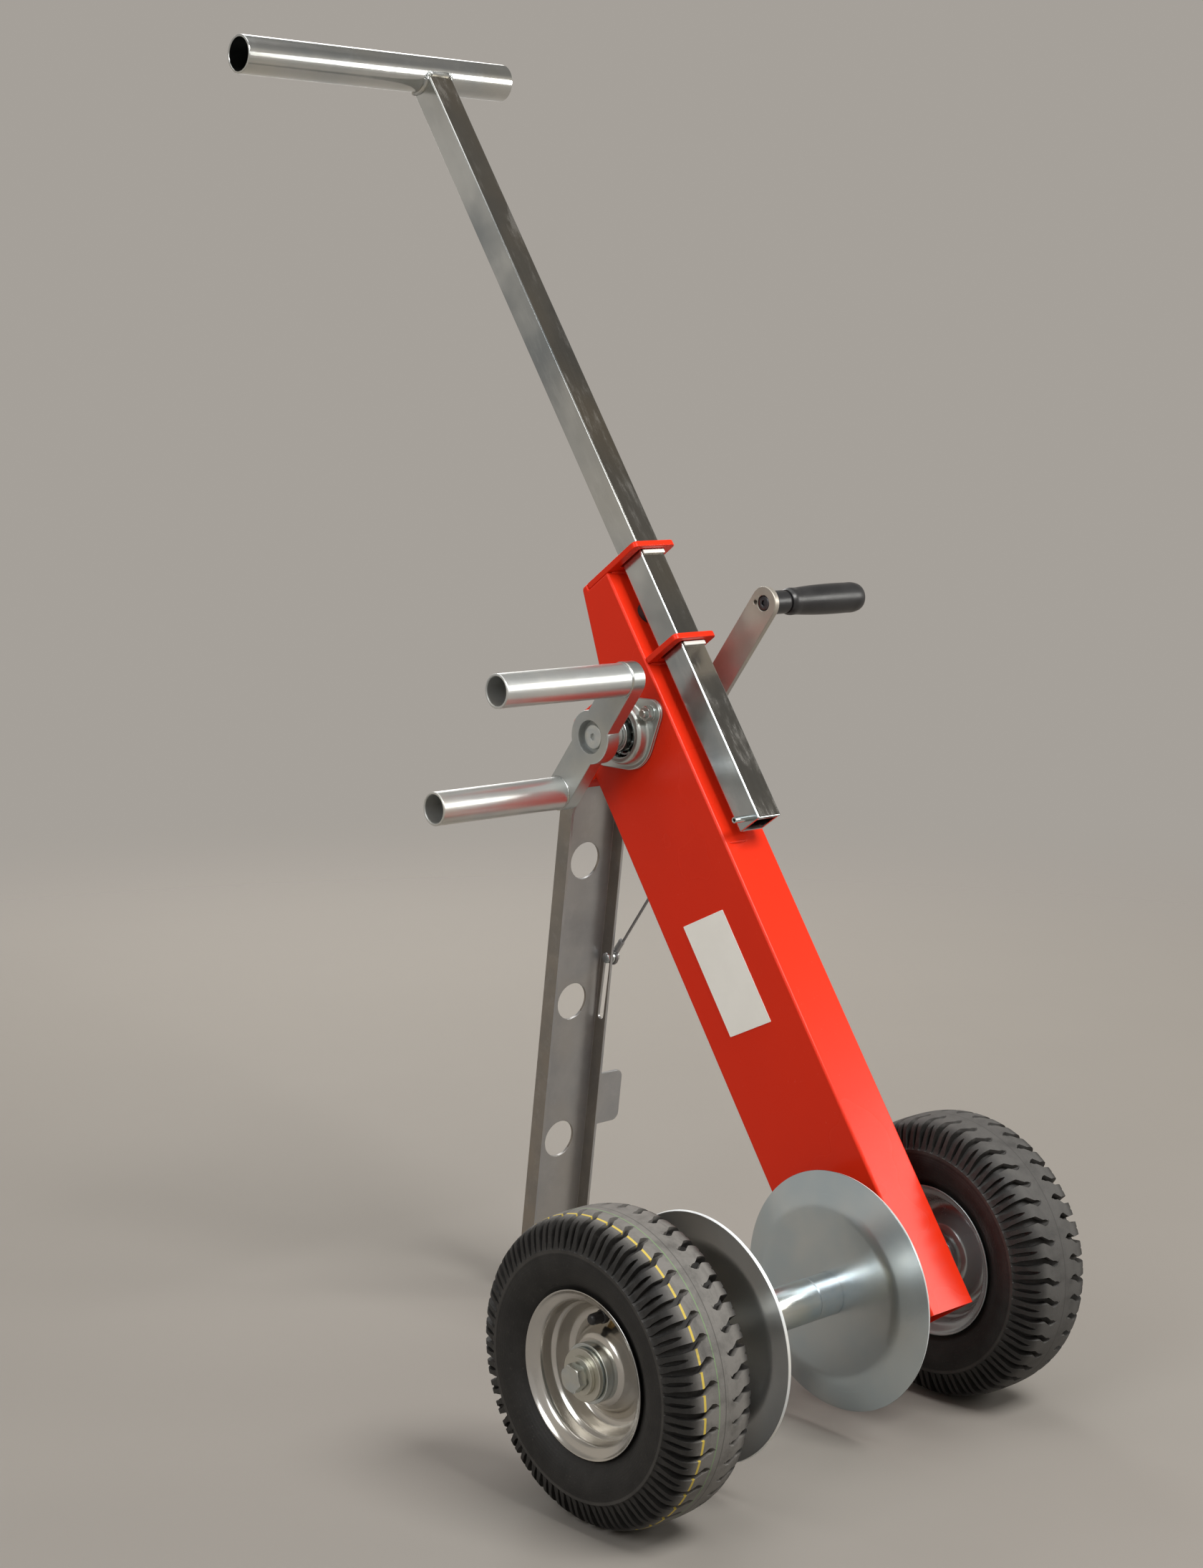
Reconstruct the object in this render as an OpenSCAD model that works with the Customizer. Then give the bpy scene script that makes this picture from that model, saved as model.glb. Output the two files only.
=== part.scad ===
// Two-wheeled hose winding trolley.
// A leaning box beam stands on a fixed axle and a fold-out leg. A crank shaft in
// two flange bearings carries a two-prong fork on the left and a crank arm on the
// right. A sliding drawbar with a cross handle runs in two guides on the front.
//
// Axes: X along the axle (the crank handle points to +X), Y to the leg, Z up.
// "Beam coordinates" are s, up along the beam from the axle, and t, out of its
// front face.

/* [Wheels] */
// Outside diameter of a tyre
wheel_d = 260; // [220:1:300]
// Width of a tyre
tyre_w = 85; // [70:1:95]
// Diameter over the rim's lip
rim_lip_d = 139; // [130:1:150]
// Thickness of the pressed rim sheet
rim_sheet = 2.5; // [1.5:0.1:3.5]
// Outside diameter of the hub tube
hub_d = 50; // [44:1:56]
// Length of the hub tube
hub_len = 60; // [50:1:70]
// Distance from the beam's middle to the left wheel's middle
left_wheel_out = 330; // [320:1:360]
// Distance from the beam's middle to the right wheel's middle
right_wheel_out = 98; // [92:1:120]

/* [Axle] */
// Diameter of the axle
axle_d = 20; // [16:1:24]
// Diameter of the spacer tubes on the axle
spacer_d = 27; // [25.5:0.5:30]
// Diameter of the tube welded through the beam for the axle
axle_tube_d = 34; // [30:1:40]
// How far that tube stands out of the beam on each side
axle_tube_out = 5; // [2:1:8]
// Diameter of the axle end washers
axle_washer_d = 44; // [36:1:46]
// Thickness of an axle end washer
axle_washer_h = 4; // [2:0.5:6]
// Thread diameter of the axle end bolts
axle_bolt_d = 12; // [8:1:14]
// How far an axle end bolt goes into the axle
axle_bolt_in = 24; // [16:1:40]

/* [Guide roller] */
// Diameter of the guide discs
disc_d = 215; // [190:1:230]
// Diameter of a disc's flat middle
disc_flat_d = 156; // [130:1:165]
// How far a disc's rim flares outwards
disc_flare = 13.5; // [6:0.5:18]
// Thickness of the disc sheet
disc_sheet = 3; // [2:0.5:4]
// Clear width between the two flat middles
hose_gap = 149; // [120:1:160]
// Distance from the beam's middle to the right disc's outer edge
disc_out = 59.5; // [55:0.5:70]
// Outside diameter of the roller tube
roller_tube_d = 38; // [32:1:45]
// Wall of the roller tube
roller_wall = 2.5; // [2:0.1:4]

/* [Beam] */
// How far the beam leans back from upright, in degrees
tilt = 33.8; // [30:0.1:36]
// Width of the beam
beam_w = 56; // [50:1:62]
// Depth of the beam, front to back
beam_depth = 126; // [115:1:135]
// Length of the beam below the axle
beam_below = 54; // [40:1:65]
// Height of the square shoulder above the axle
shoulder_s = 611; // [605:1:630]
// Height of the neck's top above the axle
neck_top_s = 706; // [695:1:730]
// Depth of the neck at the shoulder
neck_base = 68; // [60:1:75]
// Depth of the neck at its top
neck_tip = 40; // [30:1:45]
// How far the neck's back edge stands behind the top guide plate
neck_lap = 8; // [4:1:12]
// Thickness of the beam's sheet
sheet = 3; // [2:0.5:4]
// Width of the blank label
label_w = 57; // [40:1:80]
// Length of the blank label
label_len = 115; // [80:1:140]
// Thickness of the blank label
label_h = 0.5; // [0.3:0.1:1]
// Distance from the axle to the label's middle
label_s = 307.5; // [200:0.5:400]
// How far the label's middle lies behind the beam's middle
label_back = 3; // [-8:1:8]
// Slant of the label's short edges, in degrees
label_slant = 9; // [0:1:15]
// Bend radius of the beam's long edges
bend_r = 4.5; // [4.5:0.5:9]

/* [Guides] */
// Thickness of the two guide plates
plate_h = 6; // [4:0.5:8]
// How far the guide plates reach out of the beam's front face
plate_reach = 48; // [44:1:54]
// Height of the lower guide plate's top above the axle
lower_guide_s = 610; // [595:1:625]
// Wall of the glide liners
liner_wall = 1.8; // [1.2:0.1:2.5]
// How far a liner stands out below its plate
liner_lip = 5; // [3:0.5:8]
// Sliding gap between a liner and the drawbar
slide_gap = 0.2; // [0.1:0.05:0.4]
// Diameter of the friction pad behind the drawbar
pad_d = 22; // [16:1:26]

/* [Drawbar] */
// Side of the square drawbar tube
bar_w = 30; // [26:1:32]
// Wall of the drawbar tube
bar_wall = 2.5; // [2:0.1:3.5]
// Corner radius of the drawbar tube
bar_r = 3; // [2.6:0.1:4]
// Gap between the beam's front face and the drawbar
bar_gap = 10; // [8:0.5:12]
// Height of the drawbar's lower end above the axle
bar_low_s = 416; // [380:1:440]
// Height of the cross handle above the axle
handle_s = 1293; // [1200:1:1350]
// Outside diameter of the cross handle
handle_d = 38; // [34:1:42]
// Wall of the cross handle
handle_wall = 2.5; // [2:0.1:3.5]
// Length of the cross handle to the left of the drawbar
handle_left = 236; // [200:1:260]
// Length of the cross handle to the right of the drawbar
handle_right = 99; // [80:1:120]
// Diameter of the stop pin through the drawbar
pin_d = 6; // [4:0.5:8]
// How far the stop pin stands out on the left
pin_out = 16; // [10:1:20]
// Height of the stop pin above the drawbar's lower end
pin_up = 7; // [6:0.5:12]

/* [Crank] */
// Height of the crank shaft above the axle
shaft_s = 560; // [550:1:565]
// Distance of the crank shaft in front of the beam's middle
shaft_t = 6; // [0:0.5:10]
// Diameter of the crank shaft
shaft_d = 25; // [22:1:28]
// Diameter of the shaft's stepped ends
shaft_step_d = 20; // [16:1:21]
// Distance from the beam's side to the fork
fork_stand = 38; // [26:1:42]
// Distance from the beam's side to the crank arm
arm_stand = 25; // [23:1:32]
// Lean of the fork to the front, in degrees
crank_lean = 37.9; // [0:0.1:60]
// Thickness of the fork plate
fork_h = 15; // [12:1:18]
// Distance of a prong from the shaft
prong_r = 74; // [65:1:85]
// Outside diameter of a prong
prong_d = 32; // [26:1:34]
// Wall of a prong
prong_wall = 2.5; // [2:0.1:4]
// Length of a prong
prong_len = 153; // [140:1:180]
// Diameter of the fork plate's middle
fork_mid_d = 52; // [44:1:58]
// Diameter of the recess for the fork's screw
recess_d = 32; // [28:1:36]
// Depth of that recess
recess_depth = 8; // [6:0.5:9]
// Distance from the shaft to the hand grip
crank_r = 160; // [140:1:168]
// Thickness of the crank arm
arm_h = 6; // [5:0.5:8]
// Width of the crank arm
arm_w = 32; // [28:1:36]

/* [Hand grip] */
// Diameter of the fixed collar
collar_d = 23; // [20:0.5:24.5]
// Length of the fixed collar
collar_len = 24; // [16:1:30]
// Diameter of the grip next to the collar
grip_d0 = 25; // [22:0.5:28]
// Diameter of the grip near its end
grip_d1 = 30; // [27:0.5:34]
// Length of the grip
grip_len = 103; // [90:1:120]
// Diameter of the pin that the grip turns on
grip_pin_d = 10; // [8:0.5:12]

/* [Flange bearings] */
// Distance between a flange's two bolts
flange_pitch = 80; // [76:1:90]
// Width of a flange
flange_w = 71; // [66:1:76]
// Thickness of one pressed flange plate
flange_sheet = 2.5; // [2:0.5:3]
// Outside diameter of the bearing
bearing_d = 52; // [48:1:54]
// Width of the bearing's outer ring
bearing_w = 15; // [13:1:16]
// Thread diameter of the flange bolts
flange_bolt_d = 8; // [6:1:10]

/* [Leg] */
// Height of the leg's hinge above the axle
hinge_s = 556; // [545:1:565]
// Distance of the leg's hinge behind the beam's back face
hinge_back = 17; // [15:0.5:20]
// Lean of the open leg from upright, in degrees
leg_lean = 7.85; // [5:0.05:11]
// How far the leg folds in to the beam, in degrees
leg_fold = 37; // [20:1:38]
// Width of the leg's channel
leg_w = 75; // [72:1:80]
// Depth of the leg's flanges
leg_depth = 17.7; // [16:0.1:22]
// Thickness of the leg's sheet
leg_sheet = 3; // [2:0.5:3.5]
// Diameter of the holes in the leg
leg_hole_d = 38; // [30:1:44]
// Distance between those holes
leg_hole_pitch = 149; // [120:1:155]
// Distance from the hinge to the first hole
leg_hole_first = 92; // [80:1:100]
// Distance from the hinge to the foot pedal's top
pedal_drop = 321; // [300:1:340]
// Height of the foot pedal
pedal_h = 55; // [40:1:65]
// How far the foot pedal stands out of the leg
pedal_out = 30; // [20:1:34]
// Diameter of the hinge bolt
hinge_bolt_d = 10; // [8:1:12]
// Thickness of the rubber foot
foot_h = 8; // [6:1:12]

/* [Stay] */
// Distance from the hinge to the stay's bolt in the leg
stay_drop = 197; // [185:1:210]
// Distance of that bolt behind the flange's free edge
stay_inset = 6; // [5.5:0.5:8]
// Height of the stay's anchor above the axle
anchor_s = 458.7; // [452:0.1:464]
// Distance of the anchor behind the beam's back face
anchor_back = 17; // [15:0.5:20]
// Diameter of the stay's bolts
stay_bolt_d = 6; // [5:0.5:6]
// Width of the slot in the leg
slot_w = 8; // [7.6:0.1:9]
// Length of the slot past the bolt
slot_len = 62; // [52:1:70]
// Diameter of the wire rope
wire_d = 3; // [2:0.5:4]

/* [Fits] */
// Running gap on a radius
run_gap = 0.05; // [0.02:0.01:0.09]
// Gap between faces that turn past each other
face_gap = 0.3; // [0.2:0.05:0.5]

/* [Hidden] */
$fn = 64;

RED = [0.78, 0.12, 0.08];
ZINC = [0.72, 0.74, 0.76];
BLACK = [0.12, 0.12, 0.13];
RUBBER = [0.09, 0.09, 0.09];

wheel_r = wheel_d / 2;
front_t = beam_depth / 2;
half_w = beam_w / 2;
left_x = -left_wheel_out;
right_x = right_wheel_out;

// Where a point at s, t lies in the side plane
function beam_pt(s, t) = [0, s * sin(tilt) - t * cos(tilt), wheel_r + s * cos(tilt) + t * sin(tilt)];
// A side plane vector turned about X
function turned(v, a) = [0, v.y * cos(a) - v.z * sin(a), v.y * sin(a) + v.z * cos(a)];
function heading(v) = atan2(v.z, v.y);

shaft_at = beam_pt(shaft_s, shaft_t);
hinge_at = beam_pt(hinge_s, -front_t - hinge_back);
anchor_at = beam_pt(anchor_s, -front_t - anchor_back);

// Axle, from end to end
bearing_half = hub_len / 2 + 1;
axle_left = left_x - bearing_half - face_gap;
axle_right = right_x + bearing_half + face_gap;
bolt_head_h = 9;
axle_stack = axle_washer_h * 2;
axle_bore = axle_d + 2 * run_gap;

// Guide roller
disc_right_x = -disc_out - disc_flare;
disc_left_x = disc_right_x - hose_gap;
bush_lip = 3;

// Drawbar and guides
bar_t = front_t + bar_gap + bar_w / 2;
liner_in = bar_w + 2 * slide_gap;
liner_out = liner_in + 2 * liner_wall;
upper_guide_s = neck_top_s + plate_h;
pin_s = bar_low_s + pin_up;

// Crank
fork_in_x = -half_w - fork_stand;
fork_out_x = fork_in_x - fork_h;
arm_in_x = half_w + arm_stand;
arm_out_x = arm_in_x + arm_h;
recess_x = fork_out_x + recess_depth;
screw_head_h = 4;
inner_race_d = 34;
inner_race_out = 21;
outer_race_in = bearing_d - 7;
ball_pitch_d = (inner_race_d + outer_race_in) / 2;
ball_d = (outer_race_in - inner_race_d) / 2 - 2 * run_gap;
grip_x = arm_out_x + collar_len + face_gap;
grip_end_x = grip_x + grip_len;
pin_end_x = grip_end_x - 18;

// Leg and stay: the stay turns about its anchor while its bolt runs in the slot.
// The slot is the straight line through the bolt's path, folded and open.
stay_x = leg_w / 2 + 5;
slot_top = [0, stay_inset, -stay_drop];
stay_bolt_at = hinge_at + turned(slot_top, leg_lean);
stay_arm = stay_bolt_at - anchor_at;
stay_len = norm(stay_arm);
hinge_to_anchor = norm(anchor_at - hinge_at);
hinge_to_bolt = norm(slot_top);
open_angle = acos((pow(hinge_to_anchor, 2) + pow(hinge_to_bolt, 2) - pow(stay_len, 2)) / (2 * hinge_to_anchor * hinge_to_bolt));
function bolt_angle(a) = asin(hinge_to_anchor / stay_len * sin(a));
stay_ratio = 1 + (bolt_angle(open_angle) - bolt_angle(open_angle - leg_fold)) / leg_fold;
// Where the bolt lies in the leg's own frame when the leg is folded by a degrees
function bolt_in_leg(a) = turned(anchor_at + turned(stay_arm, -a * stay_ratio) - hinge_at, a - leg_lean);
slot_end = bolt_in_leg(leg_fold);
slot_turn = heading(slot_end - slot_top) + 90;
slot_bow = turned(bolt_in_leg(leg_fold / 2) - slot_top, -slot_turn).y;

foot_drop = (hinge_at.z - foot_h) / cos(leg_lean);
leg_reach = foot_drop + 20;
web_drop = 9;
foot_y = (hinge_at + turned([0, leg_depth / 2, -foot_drop], leg_lean)).y;

// The origin is under the middle of the outline
left_end_x = min(left_x - tyre_w / 2, axle_left - axle_stack - bolt_head_h);
right_end_x = max(right_x + tyre_w / 2, grip_end_x);
back_y = beam_pt(handle_s, bar_t).y + handle_d / 2;
centre = [(left_end_x + right_end_x) / 2, (back_y - wheel_r) / 2, 0];
echo(centre = centre, shaft_at = shaft_at - centre, hinge_at = hinge_at - centre, anchor_at = anchor_at - centre,
    stay_ratio = stay_ratio, slot_travel = norm(slot_end - slot_top), foot_y = foot_y - centre.y);

module placed() { translate(-centre) children(); }
module at_axle() { placed() translate([0, 0, wheel_r]) children(); }
// Beam frame: Y is -t and Z is s
module at_beam() { at_axle() rotate([-tilt, 0, 0]) children(); }
// Crank frame: Z points from the shaft to the upper prong
module at_crank() { placed() translate(shaft_at) rotate([crank_lean, 0, 0]) children(); }
module at_bearings() { at_beam() translate([0, -shaft_t, shaft_s]) children(); }
// Leg frame: Z runs up along the leg to its hinge
module at_leg() { placed() translate(hinge_at) rotate([leg_lean, 0, 0]) children(); }
module at_slot() { at_leg() translate(slot_top) rotate([slot_turn, 0, 0]) children(); }
// Stay frame: Z runs from the leg's bolt to the anchor
module at_stay() { placed() translate(anchor_at) rotate([heading(stay_arm) + 90, 0, 0]) children(); }

// Solids along X
module x_rod(d, x0, x1) { translate([x0, 0, 0]) rotate([0, 90, 0]) cylinder(d = d, h = x1 - x0); }
module x_tube(d, bore, x0, x1) { difference() { x_rod(d, x0, x1); x_rod(bore, x0 - 1, x1 + 1); } }
module x_hex(af, x0, x1) { translate([x0, 0, 0]) rotate([0, 90, 0]) cylinder(d = af / cos(30), h = x1 - x0, $fn = 6); }
// A profile of [radius, x] points turned about X
module x_turned(points) { rotate([0, 90, 0]) rotate_extrude() polygon(points); }
// A side view in Y, Z made solid from x0 to x1
module side_solid(x0, x1) { translate([x0, 0, 0]) rotate([90, 0, 90]) linear_extrude(x1 - x0) children(); }
module both_sides() { children(); mirror([1, 0, 0]) children(); }
module front_and_back(y) { for (k = [-1, 1]) translate([0, k * y, 0]) children(); }

// Plain outlines with exact arcs
module round_rect(w, h, r) {
    square([w - 2 * r, h], center = true);
    square([w, h - 2 * r], center = true);
    for (x = [-1, 1], y = [-1, 1]) translate([x * (w / 2 - r), y * (h / 2 - r)]) circle(r);
}
// Two circles, the second one up at length, with their tangents
module link(r0, r1, length) {
    a = asin((r0 - r1) / length);
    circle(r0);
    translate([0, length]) circle(r1);
    polygon([for (k = [-1, 1]) each let (e = [k * cos(a), sin(a)])
        k < 0 ? [r0 * e, [0, length] + r1 * e] : [[0, length] + r1 * e, r0 * e]]);
}

// A line of points given a thickness, as a closed outline
function unit(v) = v / norm(v);
function normal_at(p, i) = let (
    a = p[max(i - 1, 0)], b = p[min(i + 1, len(p) - 1)], d = unit(b - a)) [-d.y, d.x];
function stroke(p, h) = concat(
    [for (i = [0:len(p) - 1]) p[i] + normal_at(p, i) * h / 2],
    [for (i = [len(p) - 1:-1:0]) p[i] - normal_at(p, i) * h / 2]);

// Beam

module beam_outline(in, top_s) {
    polygon([
        [-front_t + in, -beam_below - in], [front_t - in, -beam_below - in],
        [front_t - in, shoulder_s - in], [-front_t + neck_base - in, shoulder_s - in],
        [-front_t + neck_tip - in, top_s], [-front_t + in, top_s]]);
}

module beam_bar(in, top_s) {
    intersection() {
        side_solid(-half_w + in, half_w - in) beam_outline(in, top_s);
        translate([0, 0, -beam_below - 1]) linear_extrude(top_s + beam_below + 2)
            round_rect(beam_w - 2 * in, beam_depth - 2 * in, bend_r - in);
    }
}

module beam_housing() {
    color(RED) difference() {
        at_beam() beam_bar(0, upper_guide_s);
        at_beam() beam_bar(sheet, neck_top_s);
        at_beam() translate([-half_w - 1, -front_t - 1, neck_top_s])
            cube([beam_w + 2, neck_tip - neck_lap + 1, plate_h + 1]);
        at_axle() x_rod(axle_tube_d, -half_w - 1, half_w + 1);
        at_bearings() {
            x_rod(outer_race_in, -half_w - 1, half_w + 1);
            front_and_back(flange_pitch / 2) x_rod(flange_bolt_d + 0.4, -half_w - 1, half_w + 1);
        }
    }
}

module guide_plate(top_s, t_back) {
    at_beam() translate([0, 0, top_s - plate_h]) linear_extrude(plate_h) difference() {
        translate([0, -front_t - plate_reach / 2 + (front_t - t_back) / 2])
            round_rect(beam_w - 2, plate_reach + front_t - t_back, 3);
        translate([0, -bar_t]) round_rect(liner_out, liner_out, bar_r);
    }
}
module top_guide_plate() { color(RED) guide_plate(upper_guide_s, front_t - neck_tip + neck_lap); }
module lower_guide_plate() { color(RED) guide_plate(lower_guide_s, front_t); }

module guide_liners() {
    color("ivory") for (top_s = [upper_guide_s, lower_guide_s])
        at_beam() translate([0, -bar_t, top_s - plate_h - liner_lip]) linear_extrude(plate_h + liner_lip) difference() {
            round_rect(liner_out, liner_out, bar_r);
            square(liner_in, center = true);
        }
}

module friction_pad() {
    mid_s = (lower_guide_s + neck_top_s) / 2;
    color(RUBBER) at_beam() translate([0, -front_t - bar_gap + slide_gap, mid_s]) rotate([-90, 0, 0])
        cylinder(d = pad_d, h = bar_gap - slide_gap);
}

module rating_plate() {
    color("white") at_beam() side_solid(-half_w - label_h, -half_w)
        translate([label_back, label_s]) polygon([for (p = [[-1, -1], [1, -1], [1, 1], [-1, 1]])
            [p.x * label_w / 2, (p.y * label_len + p.x * label_w * tan(label_slant)) / 2]]);
}

// Axle

module axle_shaft() {
    color(ZINC) at_axle() difference() {
        x_rod(axle_d, axle_left, axle_right);
        for (x = [axle_left, axle_right]) x_rod(axle_bolt_d, x - axle_bolt_in - 2, x + axle_bolt_in + 2);
    }
}
module axle_tube() { color(RED) at_axle() x_tube(axle_tube_d, axle_d, -half_w - axle_tube_out, half_w + axle_tube_out); }

module axle_spacers() {
    tube_end = half_w + axle_tube_out;
    color(ZINC) at_axle() {
        x_tube(spacer_d, axle_d, left_x + bearing_half + face_gap, disc_left_x - disc_sheet - bush_lip - face_gap);
        x_tube(spacer_d, axle_d, disc_right_x + disc_sheet + bush_lip + face_gap, -tube_end);
        x_tube(spacer_d, axle_d, tube_end, right_x - bearing_half - face_gap);
    }
}
module axle_end(k) { at_axle() translate([k < 0 ? axle_left : axle_right, 0, 0]) mirror([k < 0 ? 1 : 0, 0, 0]) children(); }
module axle_washers() {
    color(ZINC) for (k = [-1, 1]) axle_end(k) {
        x_tube(axle_washer_d, axle_bolt_d, 0, axle_washer_h);
        x_tube(axle_washer_d - 12, axle_bolt_d, 0, axle_stack);
    }
}
module axle_bolts() {
    color(ZINC) for (k = [-1, 1]) axle_end(k) {
        x_rod(axle_bolt_d, -axle_bolt_in, axle_stack + 1);
        x_hex(axle_bolt_d * 1.75, axle_stack, axle_stack + bolt_head_h);
    }
}

// Wheels

module wheel(k) { at_axle() translate([k < 0 ? left_x : right_x, 0, 0]) mirror([k < 0 ? 1 : 0, 0, 0]) children(); }

lip_r = rim_lip_d / 2;
seat_r = lip_r - 9.5;
belly_r = (wheel_r + seat_r) / 2 + 2;
// Half of the tyre's section: a is the angle from the belly to the crown
function tyre_pt(a, in) = let (n = 2 / 2.5, up = wheel_r - belly_r - in)
    [belly_r + up * pow(sin(a), n), (tyre_w / 2 - in) * pow(cos(a), n)];
function tyre_half(in) = [for (a = [0:9:90]) tyre_pt(a, in)];
function mirrored(p) = [for (i = [len(p) - 1:-1:0]) [p[i].x, -p[i].y]];
function side_wall(out) = [[seat_r + 0.2, out - 14], [seat_r + 6, out - 12.5], [(seat_r + belly_r) / 2, out - 5]];

module tyre() {
    wall = 8;
    out = tyre_w / 2;
    outer = concat(side_wall(out), tyre_half(0));
    inner = concat([[seat_r + 0.2, out - 24], [seat_r + 6, out - 20], [(seat_r + belly_r) / 2, out - wall - 5]], tyre_half(wall));
    color(RUBBER) x_turned(concat(outer, mirrored(outer), [for (p = inner) [p.x, -p.y]], mirrored([for (p = inner) [p.x, -p.y]])));
}

module rim() {
    out = tyre_w / 2;
    half = [
        [lip_r - 0.5, out - 7.5], [lip_r - 2, out - 9.5], [lip_r - 5, out - 11], [seat_r + 1, out - 11.6],
        [seat_r - rim_sheet / 2, out - 13.5], [seat_r - rim_sheet / 2, 13], [seat_r - 8, 4],
        [seat_r - 13, rim_sheet / 2 + 0.02], [seat_r - 19, rim_sheet / 2 + 0.02], [seat_r - 24, 9], [hub_d / 2 + 6, 18], [hub_d / 2 + 1, 20], [hub_d / 2, 20]];
    color("silver") difference() {
        both_sides() x_turned(stroke(half, rim_sheet));
        translate([-0.5, 0, valve_r]) x_rod(valve_d, 0, 40);
        x_rod(hub_d, -40, 40);
    }
}
wheel_bearing_w = 14;
wheel_bearing_d = hub_d - 8;
module hub() { color(ZINC) x_tube(hub_d, wheel_bearing_d, -hub_len / 2, hub_len / 2); }
module wheel_bearings() {
    color(ZINC) both_sides() x_tube(wheel_bearing_d, axle_bore, hub_len / 2 - wheel_bearing_w, bearing_half);
}
valve_d = 8;
valve_r = seat_r - 16;
valve_x = rim_sheet;
module valve() { color("goldenrod") translate([0, 0, valve_r]) x_rod(valve_d, 0.1, valve_x + 17); }
module valve_cap() {
    color(BLACK) translate([0, 0, valve_r]) difference() {
        x_rod(valve_d + 4, valve_x + 7, valve_x + 24);
        x_rod(valve_d, valve_x + 6, valve_x + 17);
    }
}

module left_tyre() { wheel(-1) tyre(); }
module left_rim() { wheel(-1) rim(); }
module left_hub() { wheel(-1) hub(); }
module left_wheel_bearings() { wheel(-1) wheel_bearings(); }
module left_valve() { wheel(-1) valve(); }
module left_valve_cap() { wheel(-1) valve_cap(); }
module right_tyre() { wheel(1) tyre(); }
module right_rim() { wheel(1) rim(); }
module right_hub() { wheel(1) hub(); }
module right_wheel_bearings() { wheel(1) wheel_bearings(); }
module right_valve() { wheel(1) valve(); }
module right_valve_cap() { wheel(1) valve_cap(); }

// Guide roller

// A disc whose flat middle starts at x = 0 and whose rim flares to +X
module guide_disc() {
    color(ZINC) x_turned(concat(
        [[roller_tube_d / 2, 0], [disc_flat_d / 2, 0], [disc_d / 2, disc_flare - disc_sheet]],
        [[disc_d / 2, disc_flare], [disc_flat_d / 2, disc_sheet], [roller_tube_d / 2, disc_sheet]]));
}
module left_disc() { at_axle() translate([disc_left_x, 0, 0]) mirror([1, 0, 0]) guide_disc(); }
module right_disc() { at_axle() translate([disc_right_x, 0, 0]) guide_disc(); }

tube_bore = roller_tube_d - 2 * roller_wall;
module roller_tube() {
    color(ZINC) at_axle() difference() {
        x_tube(roller_tube_d, tube_bore, disc_left_x - disc_sheet, disc_right_x + disc_sheet);
        translate([disc_right_x - 28, 0, 0]) x_tube(roller_tube_d + 2, roller_tube_d - 0.8, 0, 1.2);
    }
}
module roller_bushes() {
    color("ivory") at_axle() for (k = [0, 1])
        translate([k == 0 ? disc_left_x - disc_sheet : disc_right_x + disc_sheet, 0, 0]) mirror([k == 0 ? 1 : 0, 0, 0]) {
            x_tube(tube_bore, axle_bore, -20, bush_lip);
            x_tube(roller_tube_d + 2, axle_bore, 0, bush_lip);
        }
}

// Flange bearings and crank

module flange_outline() {
    for (k = [0, 180]) rotate(k) rotate(90) link(flange_w / 2, 13, flange_pitch / 2);
}
module bearing_flanges() {
    seat = bearing_d + 0.1;
    face = half_w + 2 * flange_sheet;
    out = half_w + bearing_w + 1.5;
    color(ZINC) at_bearings() both_sides() {
        difference() {
            side_solid(half_w, face) flange_outline();
            x_rod(seat, half_w - 1, out);
            front_and_back(flange_pitch / 2) x_rod(flange_bolt_d, half_w - 1, out);
        }
        x_turned([[seat / 2, half_w], [seat / 2 + 5, half_w], [seat / 2 + 5, face], [seat / 2 + 3, face + 4], [seat / 2 + 2.5, out - 2],
            [seat / 2 - 1, out], [seat / 2 - 3, out], [seat / 2 - 3, half_w + bearing_w + 0.1], [seat / 2, half_w + bearing_w + 0.1]]);
    }
}
module outer_races() { color(ZINC) at_bearings() both_sides() x_tube(bearing_d, outer_race_in, half_w, half_w + bearing_w); }
module inner_races() {
    color(ZINC) at_crank() both_sides() difference() {
        x_tube(inner_race_d, shaft_d, half_w - 1, half_w + inner_race_out);
        translate([half_w + inner_race_out - 3.5, 0, 0]) cylinder(d = 5, h = inner_race_d);
    }
}
module set_screws() {
    color(BLACK) at_crank() both_sides() translate([half_w + inner_race_out - 3.5, 0, shaft_d / 2]) difference() {
        cylinder(d = 5, h = (inner_race_d - shaft_d) / 2);
        translate([0, 0, 2]) cylinder(d = 2.5 / cos(30), h = 9, $fn = 6);
    }
}
module ball_cages() {
    balls = 9;
    mid = half_w + bearing_w / 2;
    color(ZINC) at_crank() both_sides() {
        x_tube(ball_pitch_d + 1.6, ball_pitch_d - 1.6, mid - 1, mid + 1);
        for (i = [0:balls - 1]) rotate([i * 360 / balls, 0, 0]) translate([mid, 0, ball_pitch_d / 2]) sphere(d = ball_d);
    }
}
module flange_bolts() {
    tip = half_w + 2 * flange_sheet + flange_bolt_d * 0.8 + 5;
    color(ZINC) at_bearings() both_sides() front_and_back(flange_pitch / 2) {
        x_rod(flange_bolt_d, half_w - sheet - 1, tip);
        x_hex(flange_bolt_d * 1.6, half_w - sheet - 6, half_w - sheet);
    }
}
module flange_nuts() {
    face = half_w + 2 * flange_sheet;
    color(ZINC) at_bearings() both_sides() front_and_back(flange_pitch / 2) difference() {
        union() {
            x_rod(flange_bolt_d * 2, face, face + 1.6);
            x_hex(flange_bolt_d * 1.6, face, face + 1.6 + flange_bolt_d * 0.8);
        }
        x_rod(flange_bolt_d, face - 1, face + 20);
    }
}

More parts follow.
